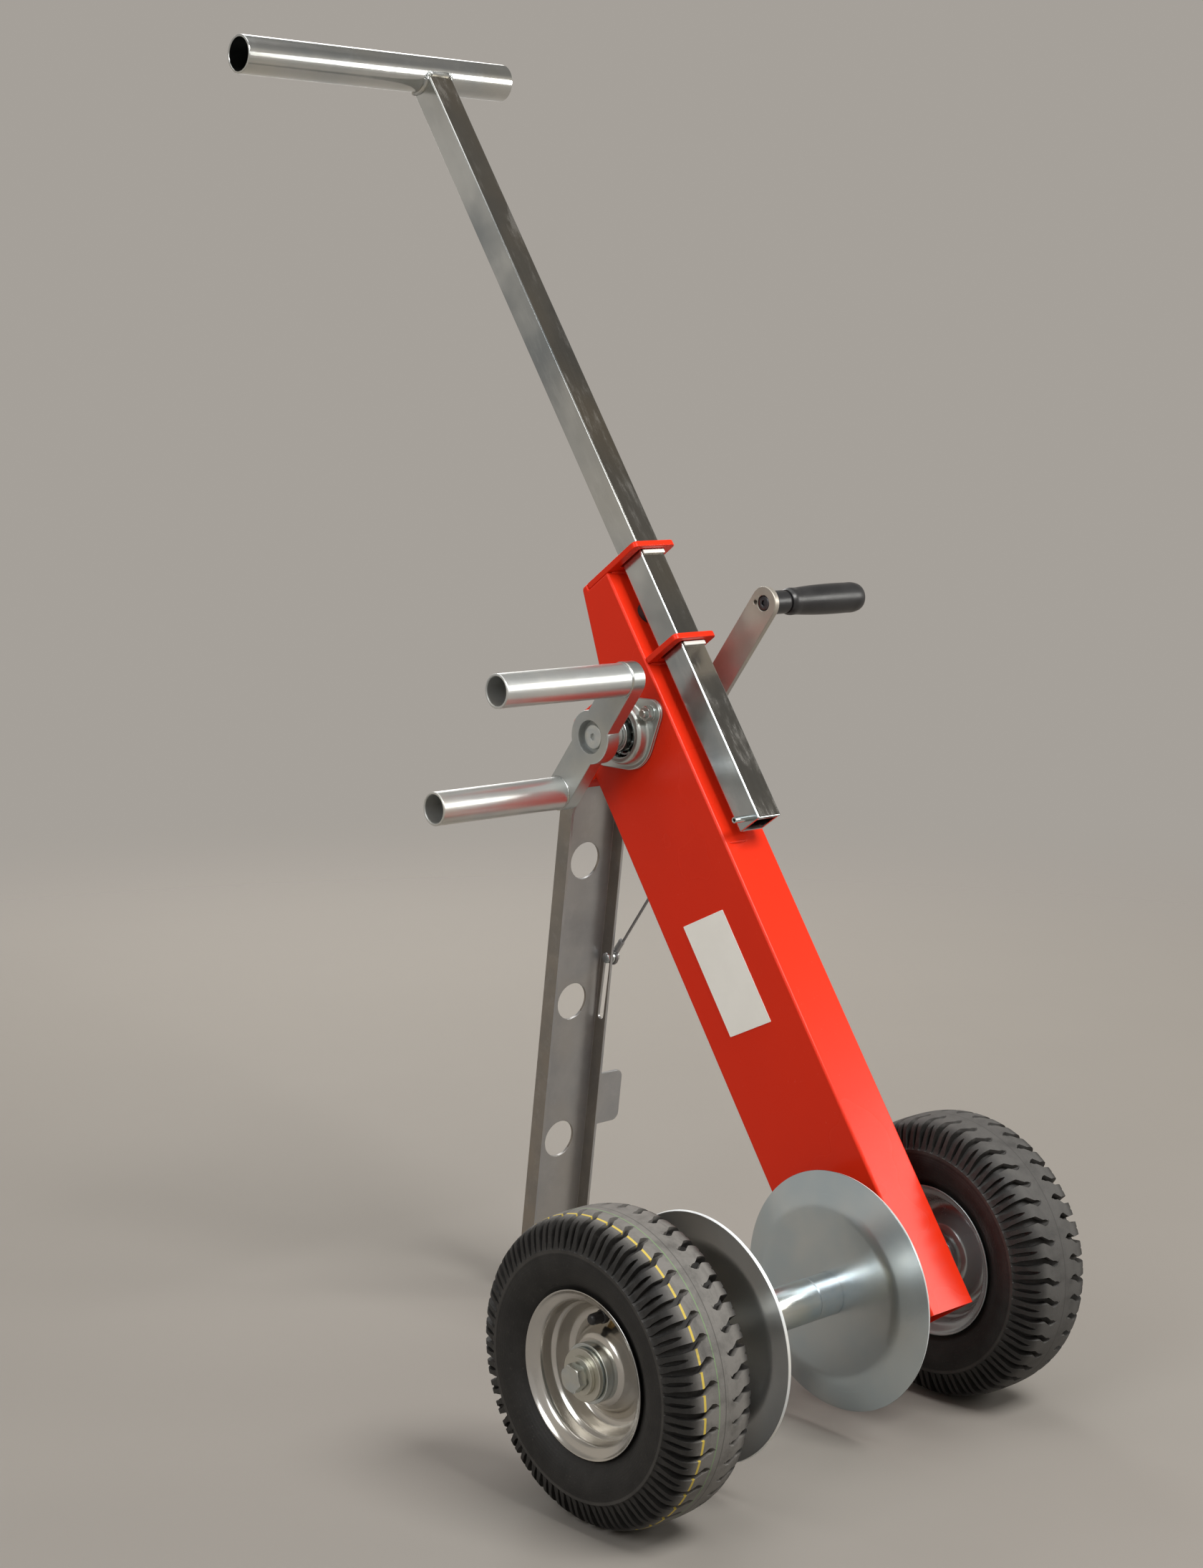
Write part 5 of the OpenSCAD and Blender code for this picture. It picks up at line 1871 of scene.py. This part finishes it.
@dataclass
class Bearings:
    """The two pressed flange bearings that carry the crank shaft.

    Attributes:
        wide: Radius of a flange's round middle.
        ear: Radius of its two ears.
        pitch: How far from its middle the ears and their studs are.
        face: How far from the beam's middle it lies.
        thick: Thickness of its two sheets.
    """

    wide: float = 35.5
    ear: float = 13.0
    pitch: float = 40.0
    face: float = 28.0
    thick: float = 5.0

    def _oval(self, steps: int) -> Array:
        """Gives a flange's radius at each angle.

        The outline is a wide circle, two ear circles, and the straight lines that touch both.

        Args:
            steps: Angles in a turn.

        Returns:
            The radii.
        """
        fold = np.arccos(np.clip(np.abs(np.cos(angles(steps))), 0.0, 1.0))
        touch = math.acos((self.wide - self.ear) / self.pitch)
        meet = math.atan2(self.ear * math.sin(touch), self.pitch + self.ear * math.cos(touch))
        line = np.where(fold < touch, self.wide / np.cos(fold - touch), self.wide)
        return np.where(fold < meet, reached(fold, self.pitch, self.ear), line)

    def _flange(self, steps: int = 240) -> Skin:
        """Gives one flange facing right.

        It is two stacked sheets with a groove between them, and a pressed ring about the bearing.

        Args:
            steps: Angles in a turn.

        Returns:
            The skin.
        """
        edge = np.array(
            [(0, 0.5), (0.4, 0), (2.0, 0), (2.35, 0.5), (2.65, 0.5), (3.0, 0), (4.4, 0.1), (self.thick, 0.9)]
        )
        ring_line = [
            (self.thick, 33.2), (self.thick, 31.4), (6.4, 30.4), (13.4, 29.4), (15.8, 28.0), (16.5, 26.0),
            (16.5, 23.1), (15.1, 23.1), (15.1, 26.05), (0, 26.05),
        ]
        dome = eased(ring_line, 0.9, False, 5)
        x = np.concatenate([edge[:, 0], dome[:, 0]])
        radii = np.concatenate([self._oval(steps) - edge[:, 1:], np.repeat(dome[:, 1:], steps, 1)])
        return spun(x, radii, steps).moved(self.face)

    def build(self, yard: Yard) -> None:
        """Builds the flanges, their nuts and studs, and the rings of the bearings.

        Args:
            yard: Where the pieces go.
        """
        add = yard.at(BEARINGS, Body.FRAME)
        add("pressed_flanges", self._flange().paired(), [BLUE_ZINC], "zinc", ["bearing_flanges"], 30.0)
        seat = self.face + self.thick
        nut = pipe(seat, seat + 1.6, 8.0, 4.1, 0.4, 48) + hexed(12.8, seat + 1.6, seat + 8.0, 4.1, True)
        stud = rod(self.face - 4.0, seat + 11.4, 3.95, 0.8, 36)
        spots = (-self.pitch, self.pitch)
        nuts = joined(nut.turned(17.0 + 20.0 * y).moved(y=y) for y in spots)
        studs = joined(stud.moved(y=y) for y in spots)
        add("flange_stud_nuts", nuts.paired(), [SMALL_ZINC], "zinc", ["flange_nuts"])
        add("flange_studs", studs.paired(), [SMALL_ZINC], "zinc", ["flange_bolts"])
        outer = pipe(self.face, self.face + 15.0, 26.0, 22.5, 0.8)
        add("outer_rings", outer.paired(), [SMALL_ZINC], "zinc", ["outer_races"])
        yard.keep(SMALL_ZINC, "ball_cages")


@dataclass
class Crank:
    """The shaft with the winding fork on the left and the crank arm and grip on the right.

    Attributes:
        prong: How far from the shaft a prong is.
        long: A prong's length.
        tube: A prong's radius.
        inside: Radius of a prong's hole.
        fork: Where the fork's left and right faces are.
        end: Radius of the fork's ends.
        boss: Radius of the fork's middle.
        seat: Radius of the shaft in the fork and the arm.
        sunk: How deep the shaft's screw is sunk in the fork.
        arm: Where the arm's left and right faces are.
        radius: How far from the shaft the grip is.
        start: Where the grip starts.
        grip: The grip's length.
    """

    prong: float = 74.0
    long: float = 153.0
    tube: float = 16.0
    inside: float = 13.5
    fork: Span = (-81.0, -66.0)
    end: float = 17.0
    boss: float = 26.0
    seat: float = 10.0
    sunk: float = 8.0
    arm: Span = (53.0, 59.0)
    radius: float = 160.0
    start: float = 83.3
    grip: float = 103.0

    def _fork_plate(self, steps: int = 360) -> Skin:
        """Gives the fork.

        At each angle its radius is the larger of a bar with round ends and the middle circle.

        Args:
            steps: Angles in a turn.

        Returns:
            The skin, with the outer edge as a second finish.
        """
        fold = np.arcsin(np.clip(np.abs(np.cos(angles(steps))), 0.0, 1.0))
        side = self.end / np.clip(np.sin(fold), 0.05, None)
        tip = reached(fold, self.prong, self.end)
        bar = np.where(fold < math.atan2(self.end, self.prong), tip, side)
        out, back = self.fork
        deep, bore = out + self.sunk, self.seat + 0.02
        rim = np.array(
            [(back, 1.0), (back - 0.3, 0.3), (back - 1.0, 0), (out + 1.0, 0), (out + 0.3, 0.3), (out, 1.0)]
        )
        hole = np.array(
            [(out, 17.0), (out + 0.3, 16.3), (out + 1.0, 16.0), (deep, 16.0), (deep, bore), (back, bore)]
        )
        shape = np.maximum(bar, self.boss) - rim[:, 1:]
        x = np.concatenate([rim[:, 0], hole[:, 0]])
        skin = spun(x, np.concatenate([shape, np.repeat(hole[:, 1:], steps, 1)]), steps)
        quads = skin.faces[0][0].reshape(len(x), steps, 4)
        edge = len(rim) - 1
        return Skin(skin.points, [(quads[edge:].reshape(-1, 4), 0), (quads[:edge].reshape(-1, 4), 1)])

    def _prong(self) -> Skin:
        """Gives a prong on the shaft's line: an open tube, its weld and its hole, with a finish each.

        Returns:
            The skin.
        """
        out, tip = self.fork[0], self.fork[0] - self.long
        line = [(tip, 14.2), (tip, 15.4), (tip + 0.7, self.tube), (out, self.tube), (out, self.inside)]
        outside = lathe(eased(line, 0.3, False, 4), 96, False)
        hole = lathe([(out, self.inside), (tip + 0.8, self.inside), (tip, 14.2)], 96, False, 2)
        path = hoop(out - 0.2, self.tube + 0.1, 72)
        bead = swept(path, ripple(72, 0.9, 0.2, (19, 29)), (1.0, 0.0, 0.0), 10, True, 1)
        return outside + hole + bead

    def build(self, yard: Yard) -> None:
        """Builds the crank's pieces.

        Args:
            yard: Where the pieces go.
        """
        add = yard.at(CRANK, Body.CRANK)
        add("winding_fork", self._fork_plate(), [FORK_ZINC, BLUE_ZINC], "zinc", ["fork_plate"])
        prong, finishes = self._prong(), [TUBE_ZINC, WELD, BORE_ZINC]
        for name, z in (("upper_prong", self.prong), ("lower_prong", -self.prong)):
            add(f"{name}_tube", prong.moved(z=z), finishes, "zinc", [name])
        left, step = self.fork[0] + self.sunk, self.fork[1]
        low, high = self.arm
        screw = screw_head(12.0, 0.0, 4.0, 6.0)
        screws = screw.flipped().moved(left) + screw.moved(high)
        add("shaft_end_screws", screws, [SCREW_ZINC], "zinc", ["shaft_screws"])
        middle = [(step, self.seat), (step, 12.5), (low, 12.5), (low, self.seat)]
        turned = [(left, 0), (left, self.seat), *middle, (high, self.seat), (high, 0)]
        shaft = lathe(eased(turned, 0.6, False, 4), closed=False)
        add("turned_shaft", shaft, [TUBE_ZINC], "zinc", ["crank_shaft"])
        race = pipe(27.0, 49.0, 17.0, 12.55, 1.0)
        add("inner_rings", race.paired(), [SMALL_ZINC], "zinc", ["inner_races"])
        yard.keep(DARK_STEEL, "set_screws")
        self._handle(add)
        yard.keep(SMALL_ZINC, "handle_pin")

    def _handle(self, add: Add) -> None:
        """Builds the crank arm and what is on its end.

        Args:
            add: Publishes a piece of the crank.
        """
        low, high = self.arm
        z = self.radius
        holes = [ring(7.6, (0.0, z)), ring(2.3, (8.6, z - 6.0), 20)]
        arm = slab(stadium(16.0, z), low, high, 0.9, holes)
        add("flat_crank_arm", arm, [ARM_ZINC], "zinc", ["crank_arm"])
        screw = screw_head(7.4, -3.0, -0.2, 5.0).flipped().moved(low) + rod(low + 2.0, high + 15.0, 3.9)
        add("countersunk_screw", screw.moved(z=z), [DARK_STEEL], "black_plastic", ["handle_screw"])
        line = [(59.05, 5.1), (59.05, 11), (60, 11.5), (80.5, 11.3), (83, 10.2), (83, 5.1)]
        collar = lathe(eased(line, 0.8, True, 4))
        add("grip_collar", collar.moved(z=z), [BLACK], "black_plastic", ["handle_collar"])
        grip = self._grip().moved(self.start, z=z)
        add("tapered_grip", grip, [BLACK], "black_plastic", ["hand_grip"], 40.0, body=Body.GRIP)

    def _grip(self) -> Skin:
        """Gives the grip, a smooth line turned about its pin, with the pin's hole.

        Returns:
            The skin, from its start at 0.
        """
        tip, deep, mouth, bore = self.grip, self.grip - 17.3, 9.6, 5.06
        line = flowing(
            [
                (0, mouth), (0.5, 11.4), (2, 12.3), (14, 13.1), (36, 14.4), (60, 15.0), (tip - 20, 14.9),
                (tip - 8, 14.5), (tip - 3, 12.9), (tip - 0.8, 9.6), (tip, 5.0), (tip, 0.0),
            ],
            60,
        )
        line[0], line[-1] = (0.0, mouth), (tip, 0.0)
        hole = [(deep, 0.0), (deep, bore), (0.6, bore), (0.0, 5.6)]
        return lathe(np.concatenate([hole, line]), 96, False)


@dataclass
class Drawbar:
    """The sliding square tube with its cross handle, which is at its top, and its stop pin."""

    y: float = -88.0
    low: float = 416.0
    top: float = 1293.0
    wide: float = 30.0
    wall: float = 2.5
    handle: Span = (-236.0, 99.0)
    radius: float = 19.0
    pin: float = 423.0

    def _saddle(self, loop: Array, gap: float) -> Array:
        """Gives a height a gap below the round handle: top - sqrt(radius^2 - y^2) - gap."""
        return self.top - np.sqrt(self.radius**2 - loop[:, 1] ** 2) - gap

    def _tube(self) -> Skin:
        """Gives the square tube, whose upper end follows the round handle.

        Returns:
            The skin, with its front face as a third finish, which is darker as a painted reflection.
        """
        outer = box_loop(self.wide, self.wide, 2.0, steps=8)
        inside = self.wide - 2 * self.wall
        inner = box_loop(inside, inside, 1.2, steps=8)
        rows = [
            (inset(outer, 0.7), self.low),
            (inset(outer, 0.2), self.low + 0.2),
            (outer, self.low + 0.8),
            (outer, self._saddle(outer, 0.05)),
            (inner, self._saddle(inner, 0.05)),
            (inner, self.low + 0.5),
            (inset(inner, -0.4), self.low),
        ]
        skin = woven(np.stack([Along.Z.points(loop, z) for loop, z in rows]), True, True)
        quads = skin.faces[0][0].reshape(len(rows), len(outer), 4)
        ahead = outer[:, 1] < 0.1 - self.wide / 2
        front = np.zeros(quads.shape[:2], bool)
        front[2] = ahead & np.roll(ahead, -1)
        return Skin(skin.points, [(quads[~front], 0), (quads[front], 2)])

    def _weld(self) -> Skin:
        """Gives the weld bead round the square tube's upper end, as a second finish.

        Returns:
            The skin.
        """
        loop = box_loop(self.wide + 1.0, self.wide + 1.0, 4.6, steps=14)
        share = np.linspace(0.0, 1.0, 5, endpoint=False)[None, :, None]
        fine = (loop[:, None] + (np.roll(loop, -1, 0) - loop)[:, None] * share).reshape(-1, 2)
        path = Along.Z.points(fine, self._saddle(fine, 0.6))
        return swept(path, ripple(len(path), 2.5, 0.22, (23, 37, 51)), (0.0, 0.0, 1.0), 10, True, 1)

    def build(self, yard: Yard) -> None:
        """Builds the drawbar's pieces.

        Args:
            yard: Where the pieces go.
        """
        add = yard.at(BEAM.shifted(0.0, self.y, 0.0), Body.DRAWBAR)
        # The third finish darkens the tube's front face as a painted reflection.
        finishes = [BAR_STEEL, WELD, SHADED_BAR_FRONT]
        add("square_drawbar", self._tube() + self._weld(), finishes, "bright_steel", ["drawbar_tube"])
        bar = pipe(*self.handle, self.radius, self.radius - self.wall, 1.0, 96).moved(z=self.top)
        add("cross_handle_tube", bar, [HANDLE_ZINC], "bright_steel", ["cross_handle"])
        a = np.radians(np.linspace(106.0, 434.0, 32))
        section = thick(np.column_stack([np.cos(a), np.sin(a)]) * 2.25, 1.5, 0.75)
        pin = slab(section + (0.0, self.pin), -31.0, 14.9, 0.25)
        add("rolled_stop_pin", pin, [SMALL_ZINC], "zinc", ["stop_pin"])


@dataclass
class Leg:
    """The fold-out leg, and its foot's sizes."""

    wide: float = 81.0
    deep: float = 27.7
    thick: float = 8.0

    def build(self, yard: Yard) -> None:
        """Builds the leg's pieces.

        Args:
            yard: Where the pieces go.
        """
        # The faces that look to the left take the darker, browner finish as painted shade.
        yard.refit("support_leg", SHEET_ZINC, Body.LEG, "galvanised", 0.9, SHADED_FLANGE_ZINC)
        foot = slab(box_loop(self.wide, self.deep, 5.0), 0.0, self.thick, 1.2, (), Along.Z)
        add = yard.at(FLOOR, Body.LEG)
        add("leg_foot_pad", foot, [RUBBER], "rubber", ["rubber_foot"])


# Studio


@dataclass(frozen=True)
class Lamp:
    """A soft lamp: where it is, what it looks at, its size, power and colour."""

    name: str
    at: Point
    aim: Point
    size: Span
    power: float
    colour: Colour = (1.0, 1.0, 1.0)

    def hang(self) -> None:
        """Puts the lamp into the scene."""
        data = bpy.data.lights.new(self.name, "AREA")
        data.shape, data.size, data.size_y = "RECTANGLE", *self.size
        data.energy, data.color = self.power, self.colour
        lamp = bpy.data.objects.new(self.name, data)
        lamp.location = self.at
        lamp.rotation_euler = (Vector(self.aim) - Vector(self.at)).to_track_quat("-Z", "Y").to_euler()
        bpy.context.scene.collection.objects.link(lamp)


@dataclass
class Studio:
    """The camera's place, turn in degrees, lens and shift, the floor and the lights.

    Shiny surfaces see a room that is pale like the background and dim above it. The floor starts to fade
    and is gone at two distances from its middle.
    """

    eye: Point = (-1.60988, -1.768432, 0.90059)
    turn: Point = (83.362, 0.0, -42.362)
    lens: float = 59.197
    shift: Span = (-0.003785, -0.0425)
    pale: Colour = (0.378, 0.352, 0.320)
    dim: Colour = (0.190, 0.183, 0.172)
    reach: float = 5.0
    fade: Span = (1.3, 3.6)
    lamps: tuple[Lamp, ...] = (
        Lamp("key", (0.14, -2.1, 2.75), (0.05, 0.0, 0.55), (1.3, 1.0), 88.0, (1.0, 0.985, 0.96)),
        Lamp("window", (2.2, -2.0, 1.35), (0.05, 0.0, 0.7), (0.8, 0.9), 26.0, (1.0, 0.99, 0.95)),
        Lamp("fill", (-2.5, -0.62, 2.05), (0.0, 0.0, 0.55), (1.4, 1.6), 31.0, (0.97, 0.985, 1.0)),
        Lamp("top", (0.0, 0.3, 3.2), (0.0, 0.0, 0.4), (2.0, 2.0), 22.0),
        Lamp("back", (1.4, 2.4, 2.0), (0.0, 0.0, 0.6), (1.0, 1.6), 18.0, (1.0, 0.99, 0.97)),
    )

    def camera(self) -> None:
        """Sets up the camera at the photograph's angle."""
        data = bpy.data.cameras.new("camera")
        data.lens, data.sensor_width, data.sensor_fit = self.lens, 36.0, "AUTO"
        data.shift_x, data.shift_y = self.shift
        data.clip_end = 100.0
        camera = bpy.data.objects.new("camera", data)
        camera.location = self.eye
        camera.rotation_euler = tuple(math.radians(a) for a in self.turn)
        bpy.context.scene.collection.objects.link(camera)
        bpy.context.scene.camera = camera

    def _matt(self) -> bpy.types.Material:
        """Gives the floor's material, which brightens away from the camera and fades out.

        Its light is a square function of the distance ahead, times a straight one of that across.

        Returns:
            The material.
        """
        material = bpy.data.materials.new("pale floor")
        bench = Bench(material)
        point = bench.point()
        x, y, _ = bench.axes(point)
        ahead, across = 0.67 * x + 0.74 * y, 0.74 * x - 0.67 * y
        cloud = 0.04 * (bench.noise(point, 3.0, 4.0, 0.55) - 0.5)
        light = (0.71 + 0.11 * ahead + 0.065 * ahead * ahead) * (1.0 - 0.06 * across) + cloud
        tone = bench.blend(0.5 * light, (0.0, 0.0, 0.0), tuple(2.0 * part for part in self.pale))
        sockets = {"Base Color": tone, "Roughness": 0.7, "Specular IOR Level": 0.2}
        matt = bench.node("ShaderNodeBsdfPrincipled", None, sockets)
        clear = bench.node("ShaderNodeBsdfTransparent")
        gone = bench.between(bench.length(point), *self.fade)
        both = bench.node("ShaderNodeMixShader", None, {0: gone, 1: matt, 2: clear})
        bench.node("ShaderNodeOutputMaterial", None, {"Surface": both})
        return material

    def floor(self) -> None:
        """Lays a round floor that fades out into the background."""
        loops = [Along.Z.points(ring(r, steps=64), 0.0) for r in np.linspace(0.0, self.reach, 12)]
        skin = woven(np.stack(loops))
        mesh = bpy.data.meshes.new("floor")
        mesh.from_pydata(skin.points.tolist(), [], skin.faces[0][0].tolist())
        mend(mesh, 1e-5)
        if mesh.polygons[0].normal.z < 0.0:
            mesh.flip_normals()
        mesh.materials.append(self._matt())
        floor = bpy.data.objects.new("floor", mesh)
        bpy.context.scene.collection.objects.link(floor)

    def world(self) -> None:
        """Sets the soft light, the plain background, and the room that shiny surfaces see."""
        world = bpy.data.worlds.new("studio")
        bpy.context.scene.world = world
        bench = Bench(world)
        x, _, z = bench.axes(bench.node("ShaderNodeTexCoord", out="Generated"))
        room = bench.blend(bench.between(z, 0.30, 0.58), self.pale, self.dim)
        open_side = bench.between(z, 0.72, 0.95) * 0.5 + bench.between(x, -0.1, -0.6) * 0.4
        room = bench.blend(open_side, room, self.pale)
        seen = bench.node("ShaderNodeLightPath", out="Is Camera Ray")
        layers = (
            (seen.sibling("Is Glossy Ray"), room, 1.25),
            (seen + seen.sibling("Is Transmission Ray"), self.pale, 1.0),
        )
        both = bench.node("ShaderNodeBackground", None, {"Color": self.pale, "Strength": 0.85})
        for share, colour, power in layers:
            layer = bench.node("ShaderNodeBackground", None, {"Color": colour, "Strength": power})
            both = bench.node("ShaderNodeMixShader", None, {0: share, 1: both, 2: layer})
        bench.node("ShaderNodeOutputWorld", None, {"Surface": both})

    def build(self) -> None:
        """Sets up the floor, the lamps and the world."""
        self.floor()
        for lamp in self.lamps:
            lamp.hang()
        self.world()
        bpy.context.scene.view_settings.view_transform = "Standard"


def main() -> None:
    """Builds the trolley and the studio."""
    logging.basicConfig(level=logging.INFO, format="%(name)s: %(message)s")
    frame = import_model()
    studio = Studio()
    studio.camera()
    yard = Yard(frame["nodes"])
    for assembly in (
        Stay(),
        Beam(),
        Axle(),
        # The left tyre's dust colour is paler than the right's as painted light on its crown, over the dust
        # of both.
        Wheel("left", Body.LEFT_WHEEL, -330.0, -1, (0.180, 0.172, 0.160), (YELLOW_LINE, GREEN_LINE)),
        Wheel("right", Body.RIGHT_WHEEL, 98.0, 1, (0.085, 0.082, 0.078)),
        GuideRoller(),
        Bearings(),
        Crank(),
        Drawbar(),
        Leg(),
    ):
        LOG.info("building %s", type(assembly).__name__)
        assembly.build(yard)
    studio.build()
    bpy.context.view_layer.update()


if __name__ == "__main__":
    main()
